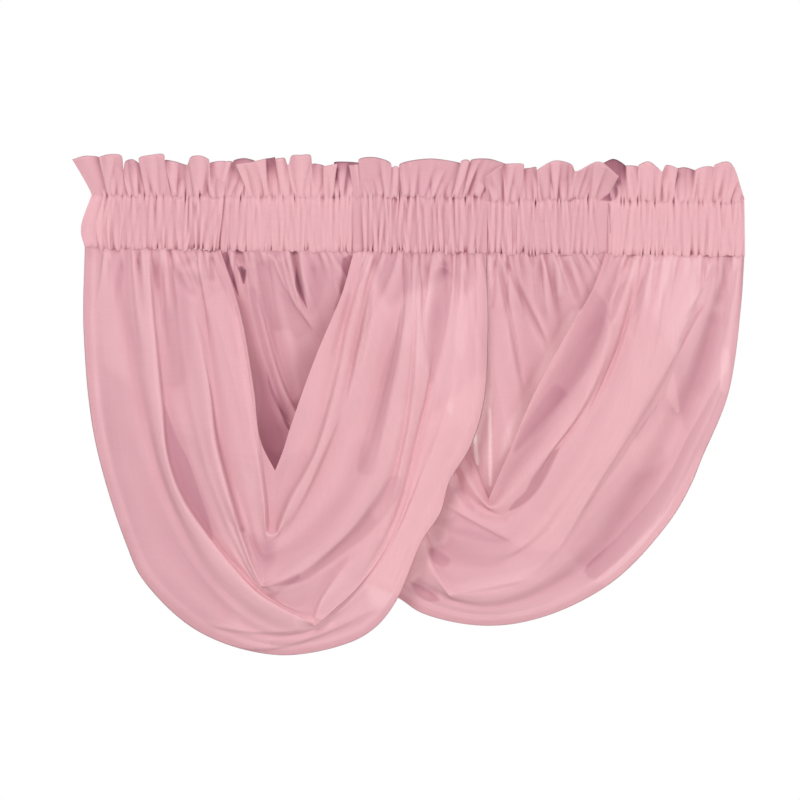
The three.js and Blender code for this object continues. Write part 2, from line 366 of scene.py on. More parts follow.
def face_on(grid: Array) -> Array:
    """The points of a grid as seen from the front: x and z, one point a row."""
    return grid[..., [0, 2]].reshape(-1, 2)


def creased(creases: Sequence[Crease], grid: Array) -> Array:
    """How far all creases together move each point of a grid along Y."""
    spots = face_on(grid)
    moved = np.zeros(len(spots))
    for crease in creases:
        moved += crease.press(spots)
    return moved.reshape(grid.shape[:2])


def patched(shades: Sequence[Shade], grid: Array) -> Array:
    """Layers of cloth at each point of a grid, with the painted shade and light of all its patches."""
    spots = face_on(grid)
    layers = np.ones(len(spots))
    for shade in shades:
        layers *= shade.density(spots)
    return layers.reshape(grid.shape[:2])


@dataclass(frozen=True)
class Puckers:
    """Small folds that start at a seam, one entry a fold: where, how wide and high, and how they run on."""

    centre: Array
    half: Array
    height: Array
    lean: Array
    run: Array

    SPREAD = 70.0

    def raised(self, x: Array, off: Array) -> Array:
        """How far the folds lift the cloth.

        Args:
            x: Places along the seam.
            off: Distance of each place from the seam.

        Returns:
            Height of the cloth at each place.
        """
        away = off[..., None]
        across = (x[..., None] - self.centre - self.lean * away) / (self.half * (1 + away / self.SPREAD))
        fade = np.clip(1 - away / self.run, 0.0, 1.0)
        return (self.height * fade * np.sqrt(np.clip(1 - across**2, 0.0, 1.0))).max(axis=-1)


@dataclass(frozen=True)
class Gathers:
    """Fine gathers along a stitched strip: how many, how high, and the plain cloth left at either end."""

    count: int
    height: float
    plain: Pair
    seed: int

    # Where a fold may lie in its space, how high it may be as a share of the height, and how far it leans.
    SCATTER = (0.1, 0.9)
    HEIGHTS = (0.2, 1.0)
    LEAN = 0.09
    WIDTHS = (0.45, 1.25)
    # A hand-guided seam: its shortest and longest waves and how many, how high they are, and its own seed.
    SEAM_WAVES = ((6.0, 14.0, 4), (20.0, 45.0, 3))
    SEAM_HEIGHTS = (0.3, 0.8)
    SEAM_SEED = 7

    def puckers(self, ends: Pair, seam: Seam, runs: Triple, widths: Pair = WIDTHS) -> Puckers:
        """The folds at one seam, on one side of it.

        Args:
            ends: Where the strip starts and ends.
            seam: The seam.
            runs: Shortest run, the longest run beyond that, and how rare long ones are.
            widths: Narrowest and widest half width, as a share of the space for each fold.

        Returns:
            The folds.
        """
        rng = np.random.default_rng([self.seed, seam.value])
        first, last = ends[0] + self.plain[0], ends[1] - self.plain[1]
        pitch = (last - first) / self.count
        centre = first + pitch * (np.arange(self.count) + rng.uniform(*self.SCATTER, self.count))
        half = pitch * rng.uniform(*widths, self.count)
        height = self.height * rng.uniform(*self.HEIGHTS, self.count)
        run = runs[0] + runs[1] * rng.uniform(0.0, 1.0, self.count) ** runs[2]
        lean = rng.uniform(-self.LEAN, self.LEAN, self.count)
        return Puckers(centre, half, height, lean, run)

    def ragged(self, x: Array) -> Array:
        """Small rise and fall of a hand-guided seam."""
        rng = np.random.default_rng([self.seed, self.SEAM_SEED])
        made = np.zeros_like(x, dtype=float)
        for wave in np.concatenate([rng.uniform(*waves) for waves in self.SEAM_WAVES]):
            height = rng.uniform(*self.SEAM_HEIGHTS)
            made += height * np.sin(2 * math.pi * x / wave + rng.uniform(0.0, 2 * math.pi))
        return made


@dataclass(frozen=True)
class Petal:
    """One flute of a ruffle: where its free edge starts, peaks and ends, and how far back it stands.

    dip is how low the edge goes before the next flute; layers is how much denser the cloth counts at the
    edge, a painted shade for a flute that shows its inside.
    """

    start: Pair
    peak: float
    end: Pair
    depth: float
    dip: float | None = None
    layers: float = 1.0


def linear(colour: str) -> tuple[float, float, float, float]:
    """An sRGB hex colour as linear red, green, blue and alpha."""
    parts = [int(colour[k:k + 2], 16) / 255 for k in (1, 3, 5)]
    made = [part / 12.92 if part <= 0.04045 else ((part + 0.055) / 1.055) ** 2.4 for part in parts]
    return made[0], made[1], made[2], 1.0


def add_node(
    tree: bpy.types.NodeTree, kind: str, inputs: dict[str | int, Any] | None = None, **settings: Any
) -> bpy.types.Node:
    """Adds a node, sets its properties and fills or links its inputs.

    Args:
        tree: The node tree.
        kind: The node's type, without the words that all shader nodes start with.
        inputs: Input name or number to a value or to the socket that feeds it.
        **settings: Properties of the node itself.

    Returns:
        The new node.
    """
    node = tree.nodes.new(f"ShaderNode{kind}")
    for name, value in settings.items():
        setattr(node, name, value)
    for key, value in (inputs or {}).items():
        if isinstance(key, int):
            socket = node.inputs[key]
        else:
            socket = next(s for s in node.inputs if s.name == key and s.enabled)
        if isinstance(value, bpy.types.NodeSocket):
            tree.links.new(value, socket)
        else:
            socket.default_value = value
    return node


def tint(
    tree: bpy.types.NodeTree, value: bpy.types.NodeSocket, limits: Pair, low: Any, high: Any
) -> bpy.types.NodeSocket:
    """Adds a change of colour that follows a value.

    Args:
        tree: The node tree.
        value: The value.
        limits: Where the change starts and where it ends.
        low: Colour, or the socket that gives it, at the first limit.
        high: Colour at the second limit.

    Returns:
        The socket that gives the colour.
    """
    ends = {"From Min": limits[0], "From Max": limits[1]}
    share = add_node(tree, "MapRange", {"Value": value, **ends}).outputs["Result"]
    mixed = add_node(tree, "Mix", {"Factor": share, "A": low, "B": high}, data_type="RGBA")
    return next(socket for socket in mixed.outputs if socket.type == "RGBA")


@dataclass(frozen=True)
class VoileFinish:
    """Woven polyester voile: fine even threads with small gaps, so it is matt, soft and half see-through."""

    name: str = "woven_polyester_voile"
    thread: str = "#F6C3CA"
    slub: str = "#F2BDC5"
    deep: str = "#B87D8B"
    deepest_shade: str = "#8A5363"
    veil: str = "#FFF1F1"
    roughness: float = 0.82
    specular: float = 0.1
    sheen: float = 0.12
    sheen_roughness: float = 0.5
    passes_light: float = 0.16
    # Share of white that shows between the threads of one flat layer.
    openness: float = 0.1
    # Real threads lie about 0.3 mm apart; they are drawn 1.4 mm apart so that the weave shows.
    thread_mm: float = 1.4
    slub_mm: float = 60.0
    slub_detail: float = 2.0
    slub_roughness: float = 0.55
    # Sum of both thread directions where the cloth is all slub and where it is all thread.
    weave: Pair = (0.75, 1.25)
    weave_mm: float = 0.6
    weave_strength: float = 0.12
    # Layers of cloth over which its colour goes to deep, which stands for dense cloth and painted shade,
    # and on to the darkest colour, which is painted shade in pits and folds.
    gathered: Pair = (1.0, 4.5)
    deepest_shade_range: Pair = (4.5, 9.0)

    def _weave(self, tree: bpy.types.NodeTree) -> bpy.types.NodeSocket:
        """Adds the threads of both directions, as one height."""
        cloth = add_node(tree, "UVMap", uv_map="cloth").outputs["UV"]
        strands = {}
        for k, sizes in enumerate(((self.thread_mm, self.slub_mm), (self.slub_mm, self.thread_mm))):
            scale = (1 / (sizes[0] * MM), 1 / (sizes[1] * MM), 1.0)
            stretched = add_node(tree, "Mapping", {"Vector": cloth, "Scale": scale}).outputs["Vector"]
            looks = {"Scale": 1.0, "Detail": self.slub_detail, "Roughness": self.slub_roughness}
            noise = add_node(tree, "TexNoise", {"Vector": stretched, **looks}, noise_dimensions="2D")
            strands[k] = noise.outputs["Fac"]
        return add_node(tree, "Math", strands, operation="ADD").outputs["Value"]

    def material(self) -> bpy.types.Material:
        """Builds the node tree once.

        Returns:
            The material.
        """
        made = bpy.data.materials.new(self.name)
        made.use_nodes = True
        tree = made.node_tree
        tree.nodes.clear()
        fullness_and_shade = add_node(tree, "Attribute", attribute_name="fullness_and_shade").outputs["Fac"]
        weave = self._weave(tree)
        colour = tint(tree, weave, self.weave, linear(self.slub), linear(self.thread))
        # Dense cloth and painted shade darken the colour through the layers; painted light lightens it.
        colour = tint(tree, fullness_and_shade, self.gathered, colour, linear(self.deep))
        colour = tint(tree, fullness_and_shade, self.deepest_shade_range, colour, linear(self.deepest_shade))
        bump = {"Height": weave, "Strength": self.weave_strength, "Distance": self.weave_mm * MM}
        normal = add_node(tree, "Bump", bump).outputs["Normal"]
        skin = add_node(tree, "BsdfPrincipled", {
            "Base Color": colour, "Roughness": self.roughness, "Specular IOR Level": self.specular,
            "Sheen Weight": self.sheen, "Sheen Roughness": self.sheen_roughness, "Normal": normal,
        }).outputs["BSDF"]
        glow = add_node(tree, "BsdfTranslucent", {"Color": colour, "Normal": normal}).outputs["BSDF"]
        body = add_node(tree, "MixShader", {0: self.passes_light, 1: skin, 2: glow}).outputs["Shader"]
        gaps = add_node(tree, "Math", {0: self.openness, 1: fullness_and_shade}, operation="POWER").outputs["Value"]
        clear = add_node(tree, "BsdfTransparent", {"Color": linear(self.veil)}).outputs["BSDF"]
        sheer = add_node(tree, "MixShader", {0: gaps, 1: body, 2: clear}).outputs["Shader"]
        add_node(tree, "OutputMaterial", {"Surface": sheer})
        return made


def cloth_object(name: str, grid: Array, fullness_and_shade: Array) -> bpy.types.Object:
    """A smooth sheet from a grid of points, with its weave laid out in metres.

    Args:
        name: The piece's name.
        grid: Points in millimetres, as rows and columns.
        fullness_and_shade: Layers of cloth at each point, with painted shade and light.

    Returns:
        The object, linked to the scene.
    """
    rows, columns = grid.shape[:2]
    index = np.arange(rows * columns).reshape(rows, columns)
    corners = [index[:-1, :-1], index[:-1, 1:], index[1:, 1:], index[1:, :-1]]
    quads = np.stack(corners, axis=-1).reshape(-1, len(corners))
    mesh = bpy.data.meshes.new(name)
    mesh.from_pydata((grid.reshape(-1, 3) * MM).tolist(), [], quads.tolist())
    mesh.polygons.foreach_set("use_smooth", np.ones(len(quads), bool))
    flat = np.stack([run_along(grid, 1), run_along(grid, 0)], axis=-1).reshape(-1, 2) * MM
    loops = np.empty(len(mesh.loops), np.int32)
    mesh.loops.foreach_get("vertex_index", loops)
    mesh.uv_layers.new(name="cloth").data.foreach_set("uv", flat[loops].astype(np.float32).ravel())
    layers = mesh.attributes.new("fullness_and_shade", "FLOAT", "POINT")
    layers.data.foreach_set("value", fullness_and_shade.astype(np.float32).ravel())
    made = bpy.data.objects.new(name, mesh)
    bpy.context.scene.collection.objects.link(made)
    return made


@dataclass
class Cloth:
    """A thin sheet of voile that stands for one CAD node; flat is its cut width and length in metres, which
    is not used.
    """

    node: str
    flat: Pair

    HELD: ClassVar[Held]
    # Columns and rows to either side around a place; least and most layers of painted light and shade.
    AROUND = (9, 3)
    PAINTED_RELIEF_LIMITS = (0.75, 2.6)

    @property
    def piece(self) -> str:
        """Name of the sheet."""
        return f"{self.node}_voile"

    def carriers(self) -> list[str]:
        """Names of the pieces that the sheet hangs from."""
        return []

    def build(self) -> tuple[Array, Array]:
        """Works out the sheet.

        Returns:
            The grid of points and the cloth's layers at each, with painted shade and light.
        """
        raise NotImplementedError

    def dress(self, material: bpy.types.Material) -> None:
        """Args:
            material: Its finish.
        """
        made = cloth_object(self.piece, *self.build())
        made.data.materials.append(material)
        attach(made, BODY)
        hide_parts(self.node)
        LOG.info("%s: %d faces for %s", made.name, len(made.data.polygons), self.node)


@dataclass
class Heading(Cloth):
    """A gathered rod pocket with its standing ruffle, one folded-over strip of cloth.

    ends are x where the strip starts and stops; seam is the upper seam's height there; left gives how far the
    left end stands off at the upper seam, at the belly and at the lower seam; lap how far the right end laps
    over its neighbour at the two seams; layers is how many times the plain strip counts as cloth.
    """

    ends: Pair
    seam: Pair
    layer: Layer
    gathers: Gathers
    petals: list[Petal]
    left: Triple = (0.0, 0.0, 0.0)
    lap: Pair = (0.0, 0.0)
    layers: float = 2.1
    shades: tuple[Shade, ...] = ()

    HELD = Held.GATHERED
    COLUMNS = 340
    FRONT_ROWS = 44
    BACK_ROWS = 14
    RUFFLE_ROWS = 26
    # The pocket: how far its walls stand out, how high it is, and how square its belly is.
    POCKET_FRONT = 5.5
    POCKET_BACK = 8.2
    DEEP = 78.0
    SQUARE = 6
    FOLD_GAP = 0.7
    # The stitching holds the front layer this far out, so the seam is a shallow groove.
    SEAM_FRONT = 2.6
    SEAM_LOW = -39.0
    SEAM_TILT = 0.012
    # Places of left's numbers, as shares of the way down, and how far along the strip its ends are felt.
    LEFT_AT = (0.0, 0.75, 1.0)
    END_REACH = 30.0
    LAP_FORWARD = 4.0
    # The ruffle: share of a petal's depth at its ends and at its peak, and the dip between two petals.
    DEPTH_AT_ENDS = 0.75
    DEPTH_AT_PEAK = 1.1
    DIP = 1.0
    # How slowly it goes back, goes sideways and leaves the stitching, and how slowly the painted shade
    # inside a flute grows on the way up.
    GOES_BACK = 1.35
    GOES_SIDEWAYS = 1.1
    LEAVES_SEAM = 3
    FLUTE_SHADE_RISE = 1.5
    LEAST_TALL = 1.0
    # Shortest run of a gather, how much longer the longest is, and how rare long ones are.
    IN_POCKET = (14.0, 120.0, 1.6)
    IN_RUFFLE = (20.0, 56.0, 1.0)
    IN_LEG = (25.0, 170.0, 1.4)
    PAST_SEAM = (4.0, 14.0, 1.5)
    # Bold gathers: how many for each fine one, how much higher, how wide, and how far the seam flattens them.
    FEWER = 0.42
    BOLD_IN_RUFFLE = 2.3
    BOLD_IN_LEG = 3.0
    BOLD_WIDTHS = (0.4, 0.75)
    FLATTENED = 0.6
    # Puckers hang over the seam by a lip; between them the stitching makes pits, which puckers fill.
    LIP = 2.4
    PIT = 4.0
    PIT_REACH = 6.0
    PIT_FILLED = 2.5
    # How far below the seam a leg is held forward, is moved to meet it, and has gathers.
    HELD_FORWARD = 10.0
    MEETS_SEAM = 12.0
    HAS_GATHERS = 200.0
    # Painted shade in hollows, light on ridges: valley depth that counts as a layer, fewest and most layers.
    AROUND = (10, 2)
    DEPTH_PER_PAINTED_LAYER = 1.8
    LEAST = 0.6
    MOST_IN_RUFFLE = 2.1
    MOST_IN_POCKET = 3.6

    def low_seam(self, x: Array) -> Array:
        """Height of the lower seam, uneven and a little lower to the right."""
        return self.SEAM_LOW - self.SEAM_TILT * x + self.gathers.ragged(x) - self._lips(Seam.LOWER, x)

    def _stitched(self, seam: Seam, x: Array, off: Array) -> Array:
        """Height of the fine puckers at a seam, as a share of the gathers' height."""
        return self.gathers.puckers(self.ends, seam, self.PAST_SEAM).raised(x, off) / self.gathers.height

    def _lips(self, seam: Seam, x: Array) -> Array:
        """How far the puckers hang over their seam."""
        return self.LIP * self._stitched(seam, x, np.zeros_like(x))

    def _pits(self, seam: Seam, x: Array, off: Array) -> Array:
        """Depth of the pits where the stitching draws the cloth in between two puckers."""
        plain = self.gathers.plain
        inside = np.minimum(x - self.ends[0] - plain[0], self.ends[1] - plain[1] - x)
        bare = np.clip(1 - self.PIT_FILLED * self._stitched(seam, x, np.zeros_like(x)), 0.0, 1.0)
        bare = bare * smoothstep(0.0, self.PIT_REACH, inside)
        return self.PIT * bare * np.exp(-((off / self.PIT_REACH) ** 2))

    def _folds(self, seam: Seam, runs: Triple, bold: float, x: Array, off: Array) -> Array:
        """Fine puckers at a seam and the bolder gathers that run on from it, with pits in the stitching.

        Args:
            seam: The seam.
            runs: How far the bolder gathers run.
            bold: How much higher they are than the puckers.
            x: Places along the seam.
            off: Distance of each place from the seam.

        Returns:
            Height of the cloth at each place; a pit is negative.
        """
        fine = self.gathers.height * self._stitched(seam, x, off)
        strip = self.gathers
        large = Gathers(round(self.FEWER * strip.count), bold * strip.height, strip.plain, strip.seed + 1)
        run_on = large.puckers(self.ends, seam, runs, self.BOLD_WIDTHS).raised(x, off)
        run_on = run_on * (1 - self.FLATTENED * np.exp(-off / self.PIT_REACH))
        return np.maximum(fine, run_on) - self._pits(seam, x, off)

    def sew(self, grid: Array, below: Array, row: int) -> Array:
        """Sews a row of a leg to the uneven lower seam.

        Args:
            grid: The leg's points; their heights are changed in place.
            below: Distance of each point from the seam, along the cloth.
            row: Number of the row.

        Returns:
            How far the stitching and its gathers move each point along Y; towards the viewer is negative.
        """
        x = grid[row, :, 0].copy()
        shift = self.low_seam(x) - grid[row, :, 2]
        grid[..., 2] += shift * np.exp(-below / self.MEETS_SEAM)
        moved = np.zeros_like(below)
        near = below.min(axis=1) < self.HAS_GATHERS
        off = below[near]
        folds = self._folds(Seam.LOWER, self.IN_LEG, self.BOLD_IN_LEG, np.broadcast_to(x, off.shape), off)
        moved[near] = -folds - self.SEAM_FRONT * np.exp(-off / self.HELD_FORWARD)
        return moved

    def _edge(self, places: Array) -> Array:
        """The ruffle's free edge, winding back and forth through its petals.

        Args:
            places: Places along the edge, from 0 to 1.

        Returns:
            Points along the edge, each with the painted shade inside its flute, as layers, for a fourth
            number.
        """
        knots = []
        for petal, after in zip(self.petals, self.petals[1:] + [None]):
            (x0, z0), (x1, z1) = petal.start, petal.end
            at_ends, at_peak = self.DEPTH_AT_ENDS * petal.depth, self.DEPTH_AT_PEAK * petal.depth
            knots.append((x0, at_ends, z0, petal.layers))
            knots.append(((x0 + x1) / 2, at_peak, petal.peak, petal.layers))
            knots.append((x1, at_ends, z1, petal.layers))
            if after is not None:
                turn_z = petal.dip if petal.dip is not None else min(z1, after.start[1]) - self.DIP
                knots.append(((x1 + after.start[0]) / 2, (petal.depth + after.depth) / 2, turn_z, 1.0))
        return path_through(knots, [0, len(knots) - 1], places)

    def _near_ends(self, x: Array) -> tuple[Array, Array]:
        """How near each place is to the left end and to a lapped right end, with 1 at the end itself."""
        near_left = np.exp(-(x - self.ends[0]) / self.END_REACH)
        near_right = np.exp(-(self.ends[1] - x) / self.END_REACH)
        return near_left, near_right if any(self.lap) else np.zeros_like(x)

    def _wall(self, x: Array, top: Array, place: float, side: Side) -> Array:
        """One row of the pocket's front or back.

        Args:
            x: Places along the strip.
            top: Height of the upper seam at each place.
            place: Share of the way from the upper seam to the lower one.
            side: The pocket's front or back.

        Returns:
            The row's points.
        """
        near_left, near_right = self._near_ends(x)
        if side is Side.FRONT:
            full, held, forward = self.POCKET_FRONT - self.SEAM_FRONT, self.SEAM_FRONT, self.LAP_FORWARD
        else:
            full, held, forward = self.POCKET_BACK, 0.0, 0.0
        out = held + full * (1 - abs(2 * place - 1) ** self.SQUARE)
        down = np.full_like(x, place * self.DEEP)
        ways = ((Seam.UPPER, down), (Seam.LOWER, self.DEEP - down))
        folds = [self.gathers.puckers(self.ends, seam, self.IN_POCKET).raised(x, off) for seam, off in ways]
        out = out + np.maximum(*folds) - sum(self._pits(seam, x, off) for seam, off in ways)
        left = hermite(np.array(self.left), np.array(self.LEFT_AT), np.array([place]))
        lap = self.lap[0] + (self.lap[1] - self.lap[0]) * place
        return np.column_stack([
            x + left * near_left + lap * near_right,
            self.layer.value * place + side.value * (out + self.FOLD_GAP) - forward * near_right,
            top + (self.low_seam(x) - top) * place,
        ])

    def _ruffle(self, x: Array, top: Array, edge: Array, rise: float, side: Side) -> Array:
        """One row of the ruffle's front or back.

        Args:
            x: Places along the strip.
            top: Height of the upper seam at each place.
            edge: The ruffle's free edge.
            rise: Share of the way from the seam to the edge.
            side: The ruffle's front or back.

        Returns:
            The row's points.
        """
        near_left, near_right = self._near_ends(x)
        tall = np.maximum(edge[:, 2] - top, self.LEAST_TALL)
        folds = self._folds(Seam.UPPER, self.IN_RUFFLE, self.BOLD_IN_RUFFLE, x, rise * tall)
        held = self.SEAM_FRONT * (1 - rise) ** self.LEAVES_SEAM + self.LAP_FORWARD * near_right * (1 - rise)
        gap = self.FOLD_GAP * math.sqrt(max(0.0, 1 - rise**self.SQUARE))
        start = x + self.left[0] * near_left + self.lap[0] * near_right
        return np.column_stack([
            start + (edge[:, 0] - start) * rise**self.GOES_SIDEWAYS,
            edge[:, 1] * rise**self.GOES_BACK - folds - held + side.value * gap,
            top + (edge[:, 2] - top) * rise,
        ])

    def _fullness_and_shade(self, grid: Array, inside: Array) -> Array:
        """Layers of cloth at each point, with painted shade and light.

        Args:
            grid: The strip's points.
            inside: How many times the rows of the ruffle's front count, as painted shade inside the flutes.

        Returns:
            The layers, with painted shade in hollows and light on ridges, painted shade inside flutes, and
            painted patches.
        """
        ruffle = slice(self.FRONT_ROWS, self.FRONT_ROWS + len(inside))
        deep = hollow_depth(grid, *self.AROUND)
        deep[ruffle.stop:] *= -1
        most = np.full((len(grid), 1), self.MOST_IN_RUFFLE)
        most[:ruffle.start] = self.MOST_IN_POCKET
        layers = self.layers * np.clip(1 + deep / self.DEPTH_PER_PAINTED_LAYER, self.LEAST, most)
        layers[ruffle] *= inside
        return layers * patched(self.shades, grid)

    def build(self) -> tuple[Array, Array]:
        """Works out the strip from the pocket's front, over the ruffle and down its back.

        Returns:
            The grid of points and the cloth's layers at each, with painted shade and light.
        """
        share = np.linspace(0.0, 1.0, self.COLUMNS)
        edge = self._edge(share)
        x = self.ends[0] + (self.ends[1] - self.ends[0]) * share
        top = self.seam[0] + (self.seam[1] - self.seam[0]) * share
        top = top + self.gathers.ragged(x + self.DEEP) - self._lips(Seam.UPPER, x)
        rises = np.linspace(0.0, 1.0, self.RUFFLE_ROWS)
        rows = [self._wall(x, top, place, Side.FRONT) for place in np.linspace(1.0, 0.0, self.FRONT_ROWS)]
        rows += [self._ruffle(x, top, edge, rise, Side.FRONT) for rise in rises[1:]]
        rows += [self._ruffle(x, top, edge, rise, Side.BACK) for rise in rises[-2:0:-1]]
        rows += [self._wall(x, top, place, Side.BACK) for place in np.linspace(0.0, 1.0, self.BACK_ROWS)]
        grid = np.array(rows)
        # Painted shade inside the flutes grows towards the ruffle's edge.
        return grid, self._fullness_and_shade(grid, 1 + rises[1:, None] ** self.FLUTE_SHADE_RISE * (edge[:, 3] - 1))


@dataclass(frozen=True)
class Fold:
    """One fold line of a swag, from the left seam down to its tip and up to the right seam.

    tops are x at the two seams; left and right are points that the line passes through; depth is y at a
    third and two thirds of the left arm, at the tip, and at a third and two thirds of the right arm; swell
    is how far the cloth bulges towards the next line, on the left and on the right; tip_at is the tip's
    share of the way; sharp says that the line turns a corner at its tip; layers is how many times the cloth
    counts there, on the left and on the right, partly as painted shade or light.
    """

    tops: Pair
    left: list[Pair]
    tip: Pair
    right: list[Pair]
    depth: tuple[float, float, float, float, float]
    swell: Pair = (0.0, 0.0)
    tip_at: float = 0.5
    sharp: bool = False
    layers: Pair = (1.0, 1.0)


@dataclass
class Swag(Cloth):
    """A draped scoop: cloth that falls from one heading, round its tip and up to another.

    folds run from the outer hem to the inner edge; fullness_and_shade gives shares of the way from seam to
    seam, each with the layers of cloth there, which partly stand for painted shade.
    """

    headings: tuple[Heading, Heading]
    fullness_and_shade: list[Pair]
    folds: list[Fold]
    creases: list[Crease]
    shades: list[Shade]

    HELD = Held.DRAPED
    ROWS = 420
    SPACING = 1.5
    # Rows lie closer towards the tip, where the cloth is softened in a few rounds.
    TOWARDS_TIP = 1.25
    TIP_WIDE = 0.012
    TIP_SOFT = 0.5
    TIP_ROUNDS = 10
    # The cloth puffs out below a seam: how far, how soon, and how far down.
    PUFF = 5.0
    PUFF_REACH = 16.0
    PUFF_END = 90.0
    # Bulges start below the seams; what differs from left to right changes over this share of the way.
    SEAM_FADE = 0.13
    CROSSING = (0.4, 0.6)
    # The hem is turned back behind its edge and stitched down along the second fold line, where it is paler.
    HEM_COLUMNS = 7
    HEM_GAP = 0.9
    HEM_LAYERS = 1.05
    STITCHED = 2.0
    STITCH_WIDE = 0.2
    STITCH_PALE = 0.15
    # Painted shade in hollows, light on ridges: depth that counts as a layer, away from the seams and at
    # them.
    DEPTH_PER_PAINTED_LAYER = 18.0
    DEPTH_PER_PAINTED_LAYER_AT_SEAM = 7.0
    GATHERED = 0.12
    # Slow unevenness: its height, its shortest and longest wave and how many, and its seed.
    RIPPLE = 0.25
    RIPPLE_WAVES = (60.0, 170.0, 7)
    SEED = 11

    def carriers(self) -> list[str]:
        """Names of the two headings' pieces."""
        return [heading.piece for heading in self.headings]

    def _line(self, fold: Fold, share: Array) -> Array:
        """Points along one fold line.

        Args:
            fold: The fold line.
            share: Places from seam to seam.

        Returns:
            One point for each place.
        """
        seam = [(x, float(self.headings[0].low_seam(np.array(float(x))))) for x in fold.tops]
        before = share < fold.tip_at
        t = np.where(before, share / fold.tip_at / 2, (1 + (share - fold.tip_at) / (1 - fold.tip_at)) / 2)
        left, right = [seam[0], *fold.left, fold.tip], [fold.tip, *fold.right, seam[1]]
        if fold.sharp:
            first = t < 0.5
            spots = np.empty((len(t), 2))
            spots[first] = path_through(left, [0, len(left) - 1], 2 * t[first])
            spots[~first] = path_through(right, [0, len(right) - 1], 2 * t[~first] - 1)
        else:
            whole = left + right[1:]
            spots = path_through(whole, [0, len(left) - 1, len(whole) - 1], t)
        starts, ends = (heading.layer.value for heading in self.headings)
        depth = spline([starts, *fold.depth, ends], t)
        return np.column_stack([spots[:, 0], depth, spots[:, 1]])

    def _clear(self, share: Array) -> Array:
        """How clear of both seams each place is, from 0 to 1."""
        return smoothstep(0.0, self.SEAM_FADE, np.minimum(share, 1 - share))

    def _ribs(self, share: Array) -> tuple[Array, Array]:
        """Rib lines from the outer hem to the inner edge, with a bulge between each two.

        Args:
            share: Places from seam to seam.

        Returns:
            Points and layers of cloth, both as rows and ribs.
        """
        rightward = smoothstep(*self.CROSSING, share)
        lines = [self._line(fold, share) for fold in self.folds]
        layers = [fold.layers[0] + rightward * (fold.layers[1] - fold.layers[0]) for fold in self.folds]
        ribs, cloth = [], []
        for k, fold in enumerate(self.folds[:-1]):
            ribs.append(lines[k])
            cloth.append(layers[k])
            if any(fold.swell):
                swell = fold.swell[0] + rightward * (fold.swell[1] - fold.swell[0])
                middle = (lines[k] + lines[k + 1]) / 2
                middle[:, 1] -= self._clear(share) * swell
                ribs.append(middle)
                cloth.append((layers[k] + layers[k + 1]) / 2)
        return np.stack([*ribs, lines[-1]], axis=1), np.stack([*cloth, layers[-1]], axis=1)

    def _gather(self, grid: Array) -> None:
        """Sews both ends of the cloth to the uneven seams, with the gathers below them."""
        below = run_along(grid, 0)
        above = below[-1] - below
        near = np.minimum(below, above)
        moved = -self.PUFF * (1 - np.exp(-near / self.PUFF_REACH)) * np.exp(-near / self.PUFF_END)
        moved += self.headings[0].sew(grid, below, 0)
        moved += self.headings[1].sew(grid, above, -1)
        grid[..., 1] += moved

    def _ripples(self, grid: Array) -> Array:
        """Slow unevenness of hand-hung cloth, the same each time."""
        rng = np.random.default_rng(self.SEED)
        depth = np.zeros(grid.shape[:2])
        for wave in rng.uniform(*self.RIPPLE_WAVES):
            turn = rng.uniform(0.0, math.pi)
            phase = rng.uniform(0.0, 2 * math.pi)
            along = grid[..., 0] * math.cos(turn) + grid[..., 2] * math.sin(turn)
            depth += self.RIPPLE * np.sin(2 * math.pi * along / wave + phase)
        return depth

    def _with_hem(self, columns: Array) -> Array:
        """Columns of the sheet, with those of the hem that is turned back put before them."""
        return np.concatenate([columns[:, self.HEM_COLUMNS:0:-1], columns], axis=1)

    def _fullness_and_shade(self, grid: Array, share: Array, cloth: Array, marks: Array) -> Array:
        """Layers of cloth at each point, with painted shade and light.

        Args:
            grid: The sheet's points, with its hem.
            share: Places of the rows from seam to seam.
            cloth: Layers of cloth, as rows and ribs.
            marks: Rib number at each column, without the hem.

        Returns:
            The layers, with doubled folds, the hem and its stitching, the painted shade and light of patches,
            and painted shade in hollows and light on ridges.
        """
        layers = np.array([np.interp(marks, np.arange(cloth.shape[1]), row) for row in cloth])
        layers *= 1 - self.STITCH_PALE * np.exp(-(((marks - self.STITCHED) / self.STITCH_WIDE) ** 2))
        layers = self._with_hem(layers)
        layers[:, :2 * self.HEM_COLUMNS] *= self.HEM_LAYERS
        near_seam = np.exp(-np.minimum(share, 1 - share) / self.GATHERED)[:, None]
        crowded = self.DEPTH_PER_PAINTED_LAYER + (self.DEPTH_PER_PAINTED_LAYER_AT_SEAM - self.DEPTH_PER_PAINTED_LAYER) * near_seam
        painted_relief = np.clip(1 + hollow_depth(grid, *self.AROUND) / crowded, *self.PAINTED_RELIEF_LIMITS)
        return np.interp(share, *zip(*self.fullness_and_shade))[:, None] * layers * patched(self.shades, grid) * painted_relief

    def build(self) -> tuple[Array, Array]:
        """Works out the draped sheet with its doubled hem.

        Returns:
            The grid of points and the cloth's fullness at each.
        """
        steps = np.linspace(-1.0, 1.0, self.ROWS)
        share = 0.5 + 0.5 * np.sign(steps) * np.abs(steps) ** self.TOWARDS_TIP
        ribs, cloth = self._ribs(share)
        grid, marks = fill_between(ribs, self.SPACING)
        near_tip = np.exp(-(((share - 0.5) / self.TIP_WIDE) ** 2))
        grid = soften(grid, self.TIP_SOFT * near_tip, self.TIP_ROUNDS)
        grid[..., 1] += self._ripples(grid) * self._clear(share)[:, None] + creased(self.creases, grid)
        self._gather(grid)
        grid = self._with_hem(grid)
        grid[:, :self.HEM_COLUMNS, 1] += self.HEM_GAP
        return grid, self._fullness_and_shade(grid, share, cloth, marks)


@dataclass(frozen=True)
class Fall:
    """One fold line of the tail: x at the seam, points that it passes through to its foot, and its depths.

    swell is how far the cloth bulges towards the next line.
    """

    top: float
    path: list[Pair]
    depth: Pair
    swell: float = 0.0


